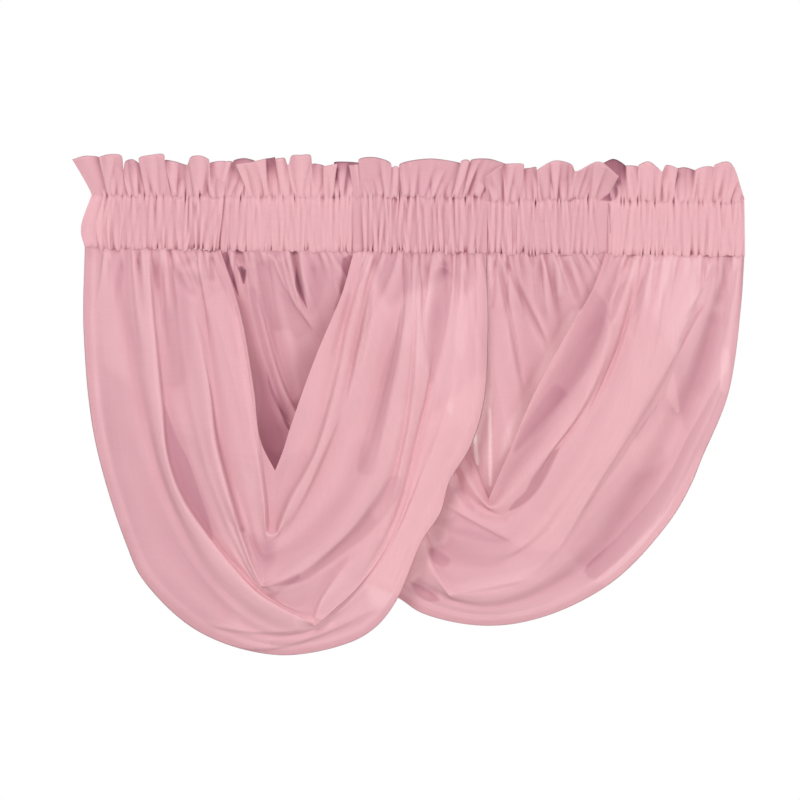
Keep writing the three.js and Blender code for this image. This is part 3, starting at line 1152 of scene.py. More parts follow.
@dataclass(frozen=True)
class Slit:
    """A narrow gap between two folds that lets the light through, from one end to the other, as x and z."""

    start: Pair
    end: Pair
    half: float

    # How far the gap's edge fades, the share of cloth left in it, and how blunt its ends are.
    SOFT = 2.6
    LEFT = 0.28
    BLUNT = 4

    def cover(self, spots: Array) -> Array:
        """How much of the cloth is left at each place: least inside the gap, 1 well outside it."""
        start, along = np.array(self.start), np.array(self.end) - np.array(self.start)
        part = np.clip(((spots - start) @ along) / (along @ along), 0.0, 1.0)
        off = np.linalg.norm(spots - start - part[..., None] * along, axis=-1)
        wide = self.half * np.sqrt(np.maximum(0.0, 1 - (2 * part - 1) ** self.BLUNT))
        return self.LEFT + (1 - self.LEFT) * smoothstep(0.0, self.SOFT, off - wide)


@dataclass
class Tail(Cloth):
    """A plain length of gathered cloth that hangs behind the second swag; falls run from left to right."""

    heading: Heading
    falls: list[Fall]
    creases: list[Crease]
    shades: list[Shade]
    slits: list[Slit]

    HELD = Held.HUNG
    ROWS = 300
    SPACING = 1.2
    LAYERS = 2.2
    # Depth that counts as a layer of painted hollow shade or ridge light; how soon below the seam bulges
    # start.
    DEPTH_PER_PAINTED_LAYER = 9.0
    SEAM_FADE = 0.16

    def carriers(self) -> list[str]:
        """Name of the heading's piece."""
        return [self.heading.piece]

    def _line(self, fall: Fall, share: Array) -> Array:
        """Points along one fold line, at places from the seam to the foot."""
        start = (fall.top, float(self.heading.low_seam(np.array(float(fall.top)))))
        spots = path_through([start, *fall.path], [0, len(fall.path)], share)
        depth = spline([self.heading.layer.value, *fall.depth], share)
        return np.column_stack([spots[:, 0], depth, spots[:, 1]])

    def build(self) -> tuple[Array, Array]:
        """Works out the hanging sheet.

        Returns:
            The grid of points and the cloth's layers at each, with painted shade and light.
        """
        share = np.linspace(0.0, 1.0, self.ROWS)
        clear = smoothstep(0.0, self.SEAM_FADE, share)
        lines = [self._line(fall, share) for fall in self.falls]
        ribs = lines[:1]
        for fall, line, after in zip(self.falls, lines, lines[1:]):
            middle = (line + after) / 2
            middle[:, 1] -= fall.swell * clear
            ribs += [middle, after]
        grid, _ = fill_between(np.stack(ribs, axis=1), self.SPACING)
        moved = self.heading.sew(grid, run_along(grid, 0), 0)
        grid[..., 1] += creased(self.creases, grid) + moved
        # Painted shade in hollows and light on ridges, slits that let light through, and painted patches.
        layers = self.LAYERS * np.clip(1 + hollow_depth(grid, *self.AROUND) / self.DEPTH_PER_PAINTED_LAYER, *self.PAINTED_RELIEF_LIMITS)
        for slit in self.slits:
            layers *= slit.cover(grid[..., [0, 2]])
        return grid, layers * patched(self.shades, grid)


OVER_L, OVER_R, RIDGE, TROUGH = Relief.LEFT_OVER, Relief.RIGHT_OVER, Relief.RIDGE, Relief.TROUGH

# Columns of the tables, in this order, from left to right or from the outer hem inwards:
# Petal: start, peak, end, depth, dip, layers.
# Fold: tops, left, tip, right, depth, swell, tip_at, sharp, layers.
# Crease: start, via, end, relief, rise, reach, fade_start, fade_end.
# Shade: layers, outline, soft; painted shade where layers is above 1, painted light where it is below 1.
# Fall: top, path, depth, swell.
# Slit: start, end, half.

# Painted shade at the corner where a heading laps over its neighbour, and painted light where the tail
# and a swag lie in the shadow of another swag's hem.
SHADE_AT_LAPPED_CORNER = Shade(2.6, [(260, 33), (272, 42), (283, 52), (285, 40), (278, 33)], 1.5)
LIGHT_IN_OVERLAP_SHADOW = Shade(0.7, [(50, -325), (72, -330), (75, -360), (55, -370), (44, -350)], 4)

HEADING_1_LEFT = Heading(
    node="heading_1_left", ends=(-460.0, -275.0), seam=(41.0, 38.0), layer=Layer.FRONT,
    gathers=Gathers(count=44, height=3.6, plain=(22.0, 3.0), seed=3), flat=(0.27, 0.26),
    left=(9.0, -5.0, 0.0), lap=(10.0, 2.0),
    # A patch of painted light at the pocket's left end.
    shades=(Shade(0.75, [(-462, -30), (-434, -30), (-432, 38), (-452, 38)], 5),),
    petals=[
        Petal((-478, 90), 95, (-442, 94), -7), Petal((-438, 94), 97, (-409, 95), -11, 76),
        Petal((-404, 88), 91, (-385, 85), 3), Petal((-384, 92), 96, (-350, 97), -10),
        Petal((-347, 90), 88, (-322, 84), 4), Petal((-312, 93), 95, (-287, 90), -10),
        Petal((-284, 86), 88, (-263, 88), -3),
    ],
)
HEADING_2_LEFT = Heading(
    node="heading_2_left", ends=(-274.7, -85.0), seam=(38.0, 38.0), layer=Layer.BACK,
    gathers=Gathers(count=56, height=2.4, plain=(3.0, 3.0), seed=5), flat=(0.27, 0.26), layers=1.8,
    # A patch of painted shade on the pocket's left part.
    shades=(Shade(1.15, [(-300, -30), (-246, -30), (-246, 50), (-300, 50)], 8),),
    petals=[
        Petal((-264, 87), 88, (-256, 88), -1), Petal((-252, 90), 93, (-222, 88), 9, None, 1.6),
        Petal((-250, 83), 86, (-207, 91), -9), Petal((-208, 92), 93, (-195, 94), 8, None, 1.6),
        Petal((-194, 91), 92, (-181, 92), -6, 82), Petal((-171, 95), 96, (-145, 96), -9),
        Petal((-140, 85), 84, (-126, 82), 3, 79), Petal((-127, 80), 82, (-107, 84), -7),
        Petal((-112, 87), 88, (-72, 86), 9, None, 2.4),
    ],
)
HEADING_1_RIGHT = Heading(
    node="heading_1_right", ends=(-84.7, 102.0), seam=(38.0, 37.0), layer=Layer.FRONT,
    gathers=Gathers(count=46, height=3.8, plain=(16.0, 10.0), seed=8), flat=(0.26, 0.26), layers=2.3,
    petals=[
        Petal((-91, 83), 83, (-79, 84), 0), Petal((-77, 91), 94, (-33, 86), 4),
        Petal((-29, 80), 81, (-22, 80), -3, 79), Petal((-20, 84), 92, (64, 86), 3, 85),
        Petal((66, 88), 90, (77, 89), -4, 86), Petal((80, 90), 92, (128, 85), 5),
    ],
)
HEADING_3_LEFT = Heading(
    node="heading_3_left", ends=(102.3, 271.0), seam=(30.0, 37.0), layer=Layer.BACK,
    gathers=Gathers(count=42, height=3.6, plain=(6.0, 18.0), seed=13), flat=(0.24, 0.26),
    shades=(SHADE_AT_LAPPED_CORNER,),
    petals=[
        Petal((98, 65), 74, (124, 82), -15), Petal((125, 83), 84, (153, 83), -10),
        Petal((155, 78), 79, (171, 80), 3), Petal((172, 75), 88, (220, 83), -9, 73),
        Petal((230, 74), 86, (286, 66), -16),
    ],
)
HEADING_2_RIGHT = Heading(
    node="heading_2_right", ends=(271.3, 462.0), seam=(33.0, 30.0), layer=Layer.FRONT,
    gathers=Gathers(count=54, height=2.6, plain=(5.0, 4.0), seed=21), flat=(0.27, 0.26), layers=1.7,
    shades=(
        SHADE_AT_LAPPED_CORNER,
        # A thin line of painted shade in the gap between this pocket and its neighbour.
        Shade(2.0, [(273, -14), (274, -14), (274.5, 5), (273, 28), (271.5, 28), (273, 5)], 0.6),
    ),
    petals=[
        Petal((265, 86), 92, (296, 83), 9, None, 3.6), Petal((297, 82), 82, (312, 81), -2),
        Petal((314, 82), 87, (341, 78), -8, 73), Petal((352, 82), 81, (369, 77), -7),
        Petal((366, 77), 80, (392, 76), 5, None, 1.6), Petal((394, 76), 80, (417, 80), -6),
        Petal((420, 82), 86, (462, 36), -6),
    ],
)

SWAG_1_FOLDS = [
    # Outer hem and its stitching, then the outer band.
    Fold((-460, 101), [(-461, -150), (-445, -300), (-400, -449), (-376, -498), (-299, -569)],
         (-190, -601), [(-92, -584), (-53, -561), (-25, -525), (11, -442), (37, -403), (49, -360),
                        (78, -312), (97, -250), (103, -150)],
         (-20, -26, -30, -46, -38), (0.5, 0.5)),
    Fold((-446, 87), [(-447, -150), (-431, -297), (-389, -440), (-366, -488), (-292, -555)],
         (-190, -588), [(-98, -572), (-60, -549), (-35, -518), (-2, -440), (34, -360), (80, -255),
                        (89, -150)],
         (-22, -29, -34, -49, -43), (2, 1)),
    Fold((-425, 74), [(-420, -120), (-402, -250), (-345, -425), (-265, -533)],
         (-190, -574), [(-95, -540), (-42, -476), (-2, -385), (38, -290), (64, -190), (72, -110)],
         (-27, -32, -38, -51, -48), (1, 1)),
    Fold((-407, 60), [(-402, -110), (-384, -225), (-340, -385), (-262, -512)],
         (-165, -565), [(-92, -521), (-40, -456), (-2, -375), (26, -278), (50, -185), (59, -100)],
         (-22, -34, -45, -48, -44), (2, 1), 0.52),
    # First lapped pleat: its edge, its turn and the cloth below it.
    Fold((-371, 50), [(-366, -100), (-352, -250), (-342, -328), (-322, -383), (-282, -441), (-250, -480),
                      (-214, -516)],
         (-137, -558), [(-80, -506), (-48, -464), (-18, -402), (5, -310), (27, -212), (46, -120)],
         (-34, -48, -56, -46, -39), (0, 0), 0.55, True),
    Fold((-369, 39), [(-364, -100), (-348, -250), (-338, -326), (-317, -381), (-279, -439), (-247, -478),
                      (-213, -513)],
         (-138, -556), [(-84, -504), (-52, -462), (-22, -401), (2, -310), (24, -212), (34, -130)],
         (-25, -34, -53, -45, -37), (0, 0), 0.55, True),
    Fold((-366, 28), [(-360, -100), (-344, -251), (-320, -327), (-302, -374), (-275, -437), (-244, -476),
                      (-212, -511)],
         (-139, -553), [(-89, -501), (-57, -459), (-27, -400), (-3, -309), (20, -210), (17, -140)],
         (-22, -36, -51, -50, -42), (1, 1), 0.55, True),
    # Middle band.
    Fold((-345, 12), [(-337, -110), (-318, -250), (-281, -378), (-240, -466), (-212, -508)],
         (-165, -531), [(-105, -487), (-42, -412), (-17, -330), (0, -240), (6, -130)],
         (-26, -42, -50, -52, -48), (1, 0), 0.53),
    # Second lapped pleat.
    Fold((-340, 7), [(-322, -118), (-301, -243), (-280, -342), (-247, -430), (-219, -491)],
         (-192, -516), [(-154, -495), (-107, -454), (-73, -422), (-36, -368), (-14, -290), (0, -145)],
         (-30, -46, -54, -48, -43), sharp=True),
    Fold((-335, 2), [(-308, -125), (-284, -235), (-276, -305), (-252, -396), (-225, -475)],
         (-212, -504), [(-190, -497), (-157, -482), (-106, -442), (-79, -413), (-45, -361), (-22, -285),
                        (-4, -160)],
         (-33, -50, -58, -56, -46), (0, 0), 0.48, True),
    Fold((-330, -6), [(-303, -125), (-281, -237), (-271, -304), (-247, -394), (-222, -472)],
         (-209, -500), [(-166, -477), (-95, -421), (-55, -343), (-33, -250), (-14, -150)],
         (-30, -36, -54, -58, -46), (-1, 1), 0.48, True),
    # Inner band with two narrow tucks, each a pair of lines.
    Fold((-318, -18), [(-292, -125), (-272, -245), (-257, -320), (-235, -398)],
         (-208, -468), [(-160, -446), (-105, -390), (-70, -320), (-45, -235), (-22, -130)],
         (-26, -38, -44, -48, -26), (1, 1), 0.49),
    Fold((-300, -42), [(-278, -130), (-248, -250), (-224, -380)],
         (-203, -450), [(-165, -410), (-125, -332), (-95, -255), (-74, -165), (-60, -98)],
         (-31, -43, -48, -44, -34), (0, 0), 0.49),
    Fold((-297, -48), [(-274, -130), (-243, -250), (-220, -380)],
         (-202, -444), [(-169, -407), (-130, -330), (-100, -254), (-79, -165), (-66, -98)],
         (-32, -44, -49, -51, -26), (0, 1), 0.49),
    Fold((-287, -62), [(-253, -130), (-227, -270), (-208, -385), (-206, -424), (-204, -432)],
         (-197, -433), [(-189, -432), (-186, -424), (-170, -385), (-135, -318), (-105, -215), (-84, -110)],
         (-33, -46, -53, -52, -30)),
    Fold((-283, -69), [(-247, -130), (-222, -270), (-204, -385), (-202, -420), (-201, -427)],
         (-197, -428), [(-192, -427), (-190, -420), (-176, -381), (-141, -315), (-111, -213), (-90, -108)],
         (-32, -43, -44, -42, -26), (0, 1)),
    # Inner edge.
    Fold((-271, -84), [(-248, -103), (-236, -150), (-222, -235), (-213, -303)],
         (-193, -345), [(-181, -314), (-173, -288), (-137, -187), (-100, -97)],
         (-31, -41, -37, -37, -30), sharp=True),
]
SWAG_1_CREASES = [
    # Left leg.
    Crease((-418, -40), (-410, -110), (-392, -190), TROUGH, 3, 7, 0.0, 0.5),
    Crease((-342, -40), (-337, -90), (-331, -150), TROUGH, 4, 4, 0.0, 0.6),
    Crease((-345, -110), (-342, -180), (-330, -270), TROUGH, 3, 12),
    Crease((-304, -40), (-300, -90), (-296, -140), RIDGE, 4, 8, 0.1, 0.5),
    Crease((-317, -50), (-308, -66), (-295, -85), RIDGE, 8, 12, 0.4, 0.5),
    Crease((-330, -62), (-321, -87), (-300, -100), TROUGH, 3, 5),
    Crease((-408, -42), (-412, -80), (-413, -120), TROUGH, 3, 4, 0.3, 0.5),
    Crease((-386, -42), (-381, -100), (-373, -175), TROUGH, 4, 5, 0.2, 0.6),
    Crease((-361, -42), (-361, -110), (-358, -180), TROUGH, 4, 5, 0.2, 0.6),
    Crease((-284, -44), (-282, -62), (-281, -85), TROUGH, 4, 3),
    Crease((-262, -95), (-255, -150), (-243, -200), TROUGH, 2, 5),
    # Round the tip.
    Crease((-139, -551), (-116, -500), (-58, -436), OVER_R, 5, 10, 0.05, 0.4),
    Crease((-300, -556), (-215, -570), (-134, -561), OVER_L, 3, 12),
    Crease((-256, -586), (-176, -588), (-55, -537), OVER_L, 3, 9),
    # Right leg.
    Crease((-80, -222), (-64, -150), (-57, -88), OVER_R, 3, 8),
    Crease((-8, -40), (-2, -100), (-6, -175), RIDGE, 4, 7, 0.2, 0.6),
    Crease((38, -45), (34, -120), (26, -215), TROUGH, 5, 10, 0.1, 0.5),
    Crease((62, -42), (60, -90), (52, -150), TROUGH, 4, 4, 0.0, 0.5),
    Crease((-110, -195), (-98, -140), (-72, -88), TROUGH, 3, 7),
    Crease((15, -340), (38, -270), (56, -212), OVER_R, 2, 14),
    Crease((97, -190), (84, -135), (79, -85), RIDGE, 2, 5),
]
# Patches of painted shade and light, partly standing for layers that show through the sheer cloth.
SWAG_1_SHADES = [
    # Left leg.
    Shade(1.12, [(-330, -290), (-305, -300), (-285, -370), (-270, -430), (-285, -420), (-305, -370)], 6),
    Shade(1.35, [(-349, -250), (-342, -330), (-322, -382), (-298, -419), (-280, -441), (-284, -415),
                 (-298, -375), (-314, -330), (-329, -300)], 1.5),
    Shade(1.4, [(-284, -226), (-281, -270), (-276, -305), (-262, -355), (-251, -400), (-243, -428),
                (-234, -428), (-240, -405), (-252, -368), (-263, -325), (-274, -280)], 3),
    Shade(1.15, [(-211, -310), (-209, -371), (-206, -427), (-188, -427), (-186, -416), (-174, -389),
                 (-150, -348), (-150, -315), (-180, -330), (-193, -346)], 2),
    Shade(0.88, [(-463, -50), (-445, -50), (-440, -200), (-425, -320), (-400, -420), (-412, -425),
                 (-440, -330), (-462, -200)], 5),
    Shade(0.85, [(-252, -130), (-242, -130), (-228, -230), (-214, -315), (-220, -320), (-236, -230)], 3),
    Shade(0.85, [(-292, -110), (-262, -95), (-240, -160), (-225, -250), (-216, -330), (-222, -385),
                 (-240, -330), (-262, -250), (-280, -170)], 6),
    Shade(1.2, [(-350, -60), (-322, -60), (-312, -130), (-318, -220), (-335, -230), (-345, -150)], 8),
    Shade(1.22, [(-432, -200), (-400, -220), (-375, -320), (-330, -420), (-270, -510), (-250, -550),
                 (-310, -552), (-370, -480), (-410, -400), (-430, -300)], 10),
    # Round the tip.
    Shade(0.85, [(-282, -440), (-250, -477), (-214, -512), (-165, -541), (-175, -530), (-205, -508),
                 (-225, -495), (-255, -468)], 2),
    Shade(1.4, [(-238, -425), (-215, -438), (-196, -442), (-198, -470), (-206, -495), (-222, -465)], 9),
    Shade(1.35, [(-208, -500), (-180, -494), (-160, -486), (-158, -492), (-180, -507), (-199, -519)], 3),
    Shade(1.5, [(-200, -504), (-157, -485), (-106, -445), (-79, -416), (-52, -378), (-28, -350),
                (-18, -356), (-23, -380), (-42, -408), (-65, -434), (-93, -455), (-120, -475),
                (-156, -498)], 2),
    Shade(0.8, [(-262, -410), (-250, -420), (-222, -480), (-208, -508), (-222, -505), (-245, -470)], 3),
    Shade(0.8, [(-165, -540), (-140, -545), (-115, -545), (-110, -560), (-140, -568), (-165, -562)], 4),
    Shade(1.25, [(-205, -516), (-165, -505), (-122, -484), (-90, -462), (-98, -476), (-114, -500),
                 (-130, -527), (-141, -549), (-168, -541)], 3),
    Shade(1.2, [(-200, -580), (-150, -576), (-128, -564), (-100, -553), (-60, -539), (-45, -537),
                (-62, -550), (-100, -567), (-150, -581), (-200, -588)], 1.5),
    Shade(0.85, [(5, -440), (12, -445), (-2, -490), (-18, -514), (-28, -500), (-18, -460)], 6),
    # Right leg.
    Shade(1.22, [(-210, -450), (-170, -445), (-110, -380), (-75, -300), (-62, -330), (-95, -400),
                 (-140, -460), (-190, -490)], 10),
    Shade(1.25, [(-12, -112), (-16, -150), (-20, -195), (-33, -255), (-47, -310), (-57, -350), (-78, -345),
                 (-70, -300), (-56, -255), (-44, -205), (-30, -165), (-18, -125)], 3),
    Shade(1.3, [(27, -66), (40, -62), (56, -75), (50, -112), (44, -150), (35, -190), (26, -226), (19, -195),
                (18, -150), (22, -110)], 1.5),
    Shade(1.2, [(-57, -92), (-58, -112), (-64, -150), (-75, -197), (-80, -222), (-84, -205), (-77, -165),
                (-69, -125), (-62, -100)], 2),
    Shade(0.85, [(62, -60), (72, -58), (76, -120), (66, -190), (56, -170), (62, -110)], 4),
    Shade(0.62, [(36, -262), (96, -212), (97, -240), (78, -310), (50, -365), (36, -410), (8, -450),
                 (-22, -520), (-55, -535), (-65, -500), (-42, -460), (-20, -410), (2, -350), (25, -270)], 9),
    Shade(1.45, [(-62, -38), (0, -36), (45, -38), (92, -38), (84, -78), (70, -98), (50, -72), (20, -88),
                 (-10, -98), (-35, -115), (-52, -80)], 9),
    Shade(0.8, [(-20, -250), (10, -250), (-5, -320), (-20, -370), (-50, -412), (-60, -402), (-40, -350),
                (-28, -300)], 6),
    Shade(0.8, [(14, -225), (24, -222), (8, -310), (-14, -390), (-40, -440), (-48, -436), (-22, -380),
                (-4, -310)], 3),
    Shade(1.15, [(-96, -100), (-82, -100), (-86, -160), (-98, -190)], 4),
    Shade(0.88, [(2, -60), (18, -70), (15, -140), (14, -190), (20, -235), (8, -290), (-6, -330),
                 (-30, -330), (-36, -300), (-12, -240), (-3, -180), (-2, -110)], 4),
]
SWAG_1 = Swag(
    node="swag_1", headings=(HEADING_1_LEFT, HEADING_1_RIGHT), flat=(0.3, 1.25),
    fullness_and_shade=[(0.0, 2.4), (0.45, 2.1), (0.65, 1.8), (0.8, 1.8), (1.0, 1.9)],
    folds=SWAG_1_FOLDS, creases=SWAG_1_CREASES, shades=SWAG_1_SHADES,
)

SWAG_2_FOLDS = [
    # Outer hem and its stitching, then the outer band.
    Fold((-285, 461.5), [(-288, -150), (-262, -290), (-150, -455), (-23, -523), (12, -545)],
         (99, -562), [(185, -548), (280, -498), (357, -415), (385, -367), (402, -326), (438, -238),
                      (456, -120)],
         (16, 10, -6, -14, -18), (0.5, 0.5), layers=(1.0, 1.05)),
    Fold((-262, 448), [(-268, -150), (-240, -290), (-142, -440), (-18, -510), (18, -530)],
         (97, -548), [(181, -534), (271, -486), (343, -405), (387, -318), (426, -232), (444, -120)],
         (15, 8, -9, -17, -21), (1, 1), layers=(1.0, 1.15)),
    Fold((-242, 428), [(-238, -150), (-200, -270), (-100, -415), (2, -500)],
         (92, -534), [(175, -514), (255, -455), (318, -365), (362, -285), (402, -190), (424, -100)],
         (12, 2, -12, -12, -12), (1, 2), 0.49, layers=(1.0, 1.6)),
    # Lapped pleat: its edge and the cloth below it.
    Fold((-231, 412), [(-206, -160), (-178, -243), (-85, -378), (10, -442), (24, -478)],
         (48, -518), [(130, -511), (200, -462), (255, -375), (322, -268), (372, -178), (408, -105)],
         (4, -4, -20, -23, -28), (0, 0), 0.46, True, layers=(1.0, 1.15)),
    Fold((-227, 402), [(-200, -160), (-171, -243), (-80, -372), (15, -438), (29, -474)],
         (52, -511), [(127, -504), (195, -456), (249, -371), (316, -264), (365, -176), (400, -105)],
         (14, 6, -16, -28, -34), (1, 1), 0.46, True),
    # Middle band.
    Fold((-195, 366), [(-165, -120), (-110, -215), (-30, -340), (22, -425), (50, -462)],
         (100, -477), [(165, -450), (225, -375), (290, -270), (340, -150)],
         (6, 2, -14, -26, -34), (1, 2), layers=(1.0, 0.9)),
    Fold((-166, 326), [(-150, -118), (-95, -215), (0, -335), (45, -396), (90, -421)],
         (141, -447), [(175, -412), (215, -350), (262, -255), (298, -160), (318, -85)],
         (8, -4, -22, -24, -26), (1, 1), 0.53, layers=(1.0, 1.1)),
    # Two narrow tucks, each a pair of lines.
    Fold((-128, 312), [(-85, -140), (-20, -235), (40, -330), (70, -385)],
         (125, -412), [(160, -388), (200, -322), (243, -262), (276, -193), (300, -120)],
         (2, -6, -18, -25, -19), (0, 0), 0.51, layers=(1.0, 1.1)),
    Fold((-122, 306), [(-79, -138), (-14, -231), (46, -327), (78, -382)],
         (122, -406), [(154, -384), (195, -318), (238, -259), (271, -190), (294, -118)],
         (10, 0, -14, -21, -26), (0, 0), 0.51),
    Fold((-105, 297), [(-60, -130), (0, -220), (55, -318), (88, -378)],
         (108, -397), [(138, -372), (185, -322), (226, -268), (259, -200), (281, -105)],
         (4, -6, -18, -26, -32), (0, 1)),
    Fold((-97, 290), [(-52, -128), (8, -217), (62, -312), (94, -370)],
         (106, -391), [(132, -352), (176, -290), (222, -213), (256, -148), (274, -92)],
         (10, 0, -12, -17, -20), (0, 0), layers=(1.0, 1.6)),
    # Inner edge.
    Fold((-80, 268), [(-40, -122), (20, -212), (68, -300), (94, -360)],
         (104, -385), [(131, -322), (165, -242), (210, -158), (250, -90)],
         (8, -2, -14, -26, -28), sharp=True, layers=(1.0, 1.3)),
]
SWAG_2_CREASES = [
    # Left leg.
    Crease((-245, -40), (-239, -70), (-232, -120), TROUGH, 9, 5, 0.0, 0.6),
    Crease((-168, -40), (-160, -85), (-149, -130), TROUGH, 9, 4, 0.0, 0.5),
    Crease((-238, -48), (-213, -170), (-173, -290), OVER_R, 4, 13, 0.05, 0.1),
    Crease((-222, -48), (-200, -150), (-165, -255), OVER_R, 4, 13, 0.05, 0.2),
    Crease((-198, -46), (-172, -105), (-130, -160), OVER_L, 4, 13, 0.05, 0.2),
    # Round the tip.
    Crease((42, -393), (90, -421), (141, -447), OVER_L, 3, 12, 0.0),
    Crease((54, -354), (68, -380), (86, -405), TROUGH, 4, 5),
    Crease((84, -404), (108, -411), (132, -412), TROUGH, 3, 4),
    Crease((-4, -495), (12, -510), (36, -521), TROUGH, 4, 8),
    Crease((46, -517), (101, -510), (158, -497), OVER_L, 3, 10),
    # Right leg.
    Crease((271, -142), (284, -100), (304, -46), TROUGH, 6, 6, 0.2, 0.0),
    Crease((303, -140), (312, -100), (324, -60), TROUGH, 4, 6, 0.4, 0.3),
    Crease((366, -182), (385, -140), (402, -110), TROUGH, 4, 5),
    Crease((422, -125), (432, -85), (440, -45), TROUGH, 4, 5, 0.3, 0.0),
    Crease((390, -255), (410, -180), (424, -118), TROUGH, 5, 14),
    Crease((398, -104), (404, -75), (409, -45), TROUGH, 4, 4, 0.4, 0.0),
    Crease((304, -46), (283, -85), (260, -130), OVER_L, 3, 9, 0.05, 0.4),
    Crease((336, -46), (314, -95), (290, -155), OVER_L, 3, 9, 0.05, 0.4),
    Crease((418, -52), (400, -95), (376, -135), OVER_R, 4, 9, 0.1, 0.3),
    Crease((356, -46), (348, -90), (336, -140), RIDGE, 3, 5, 0.1, 0.5),
]
# Patches of painted shade and light, partly standing for layers that show through the sheer cloth.
SWAG_2_SHADES = [
    # Left leg.
    Shade(1.15, [(-254, -93), (-232, -153), (-217, -228), (-214, -301), (-194, -341), (-182, -318),
                 (-202, -243), (-222, -178), (-237, -108)], 4),
    Shade(3.0, [(-272, -40), (-262, -40), (-256, -58), (-246, -99), (-253, -84), (-263, -58)], 0.8),
    Shade(1.18, [(-236, -90), (-222, -90), (-205, -160), (-190, -225), (-176, -275), (-198, -250),
                 (-215, -200), (-228, -140)], 4),
    Shade(1.8, [(-100, -48), (-86, -44), (-90, -75), (-105, -112), (-112, -122), (-103, -90)], 2),
    Shade(1.4, [(-198, -322), (-182, -322), (-188, -348), (-196, -348)], 8),
    Shade(1.9, [(-192, -248), (-174, -284), (-172, -290), (-176, -288), (-186, -266)], 0.8),
    Shade(1.15, [(-150, -60), (-128, -60), (-132, -110), (-145, -125)], 5),
    Shade(0.75, [(-196, -150), (-175, -150), (-165, -200), (-160, -240), (-172, -248), (-186, -205)], 5),
    Shade(1.15, [(-186, -95), (-178, -102), (-160, -130), (-148, -150), (-165, -160), (-180, -125)], 3),
    Shade(2.8, [(-248, -58), (-241, -61), (-235.5, -64), (-238.5, -83), (-243, -70)]),
    Shade(2.2, [(-165, -60), (-162.5, -72), (-158, -90), (-150, -117), (-159, -101), (-165.5, -88)]),
    Shade(1.35, [(-206, -205), (-196, -235), (-173, -279), (-187, -262), (-203, -228)]),
    # Round the tip.
    Shade(1.2, [(50, -410), (64, -408), (95, -422), (135, -440), (120, -446), (80, -440), (50, -428)], 4),
    Shade(0.6, [(5, -450), (20, -425), (45, -425), (45, -445), (20, -455), (8, -495), (-5, -500)], 4),
    Shade(1.25, [(20, -428), (70, -425), (130, -445), (170, -455), (200, -458), (150, -485), (90, -497),
                 (48, -500), (25, -470)], 6),
    Shade(1.35, [(14, -452), (30, -455), (50, -470), (45, -478), (28, -473)], 3),
    LIGHT_IN_OVERLAP_SHADOW,
    Shade(0.7, [(38, -392), (52, -392), (56, -408), (44, -412)], 3),
    Shade(1.6, [(-5, -501), (12, -507), (36, -526), (20, -528), (2, -516)], 2),
    Shade(1.1, [(18, -435), (60, -440), (130, -455), (125, -475), (70, -478), (30, -465)], 4),
    Shade(1.15, [(52, -352), (62, -362), (76, -385), (90, -403), (80, -402), (66, -388), (52, -368)], 1.5),
    Shade(1.8, [(203, -313), (186, -350), (170, -375), (150, -393), (132, -401), (141, -387), (155, -374),
                (165, -354), (180, -334), (195, -317)], 1.5),
    # Right leg.
    Shade(1.25, [(251, -88), (273, -127), (263, -176), (222, -229), (174, -282), (137, -321), (164, -253),
                 (203, -185), (232, -122)], 3),
    Shade(1.2, [(215, -240), (180, -285), (140, -318), (150, -290), (175, -250), (200, -225)], 4),
    Shade(0.95, [(268, -135), (250, -165), (232, -203), (212, -243), (196, -275), (170, -302), (148, -318),
                 (150, -295), (168, -268), (190, -238), (215, -200), (240, -160)], 5),
    Shade(1.4, [(298, -76), (283, -95), (274, -130), (273, -143), (285, -115), (293, -95)], 1.5),
    Shade(1.25, [(318, -75), (308, -105), (302, -135), (311, -122), (321, -90)], 2),
    Shade(2.2, [(296, -147), (284, -171), (272, -197), (258, -228), (243, -262), (256, -235), (269, -205),
                (281, -178)], 0.8),
    Shade(1.5, [(405, -113), (390, -130), (380, -150), (368, -181), (385, -150), (395, -131)], 1.5),
    Shade(0.4, [(297, -151), (303, -152), (304, -164)]),
    Shade(0.58, [(361, -207), (369, -264), (352, -240)]),
    Shade(1.15, [(352, -330), (330, -385), (285, -435), (240, -480), (215, -455), (235, -425), (270, -385),
                 (310, -345), (345, -310)], 4),
    Shade(1.1, [(426, -83), (392, -132), (370, -176), (368, -224), (373, -268), (380, -292), (387, -282),
                (416, -210), (436, -156), (448, -78)]),
    Shade(0.66, [(430, -171), (438, -176), (436, -234), (429, -236), (427, -205)]),
    Shade(1.4, [(383, -294), (358, -344), (324, -392), (280, -441), (237, -485), (252, -497), (303, -452),
                (346, -404), (376, -356), (398, -312), (420, -262), (433, -228), (437, -205), (418, -232),
                (400, -265)]),
    Shade(0.72, [(398, -315), (405, -322), (396, -345), (372, -396), (330, -448), (282, -494), (264, -504),
                 (254, -499), (305, -454), (348, -406), (378, -358)], 1.5),
    Shade(0.8, [(350, -215), (320, -265), (290, -310), (250, -362), (215, -405), (180, -432), (150, -452),
                (138, -448), (165, -420), (200, -380), (235, -330), (262, -280), (290, -230), (322, -175),
                (352, -165)], 8),
    Shade(0.95, [(240, -402), (262, -402), (268, -435), (225, -480), (160, -500), (150, -480),
                 (205, -448)], 4),
    Shade(0.75, [(345, -262), (372, -270), (370, -300), (345, -335), (310, -345), (305, -320),
                 (325, -290)], 8),
    Shade(0.76, [(300, -290), (312, -310), (270, -362), (215, -408), (190, -428), (240, -362)], 6),
    Shade(1.6, [(349, -209), (330, -240), (310, -275), (270, -335), (228, -391), (268, -330), (306, -275),
                (326, -240)]),
    Shade(1.5, [(352, -235), (318, -285), (278, -345), (236, -400), (276, -341), (315, -284)]),
]
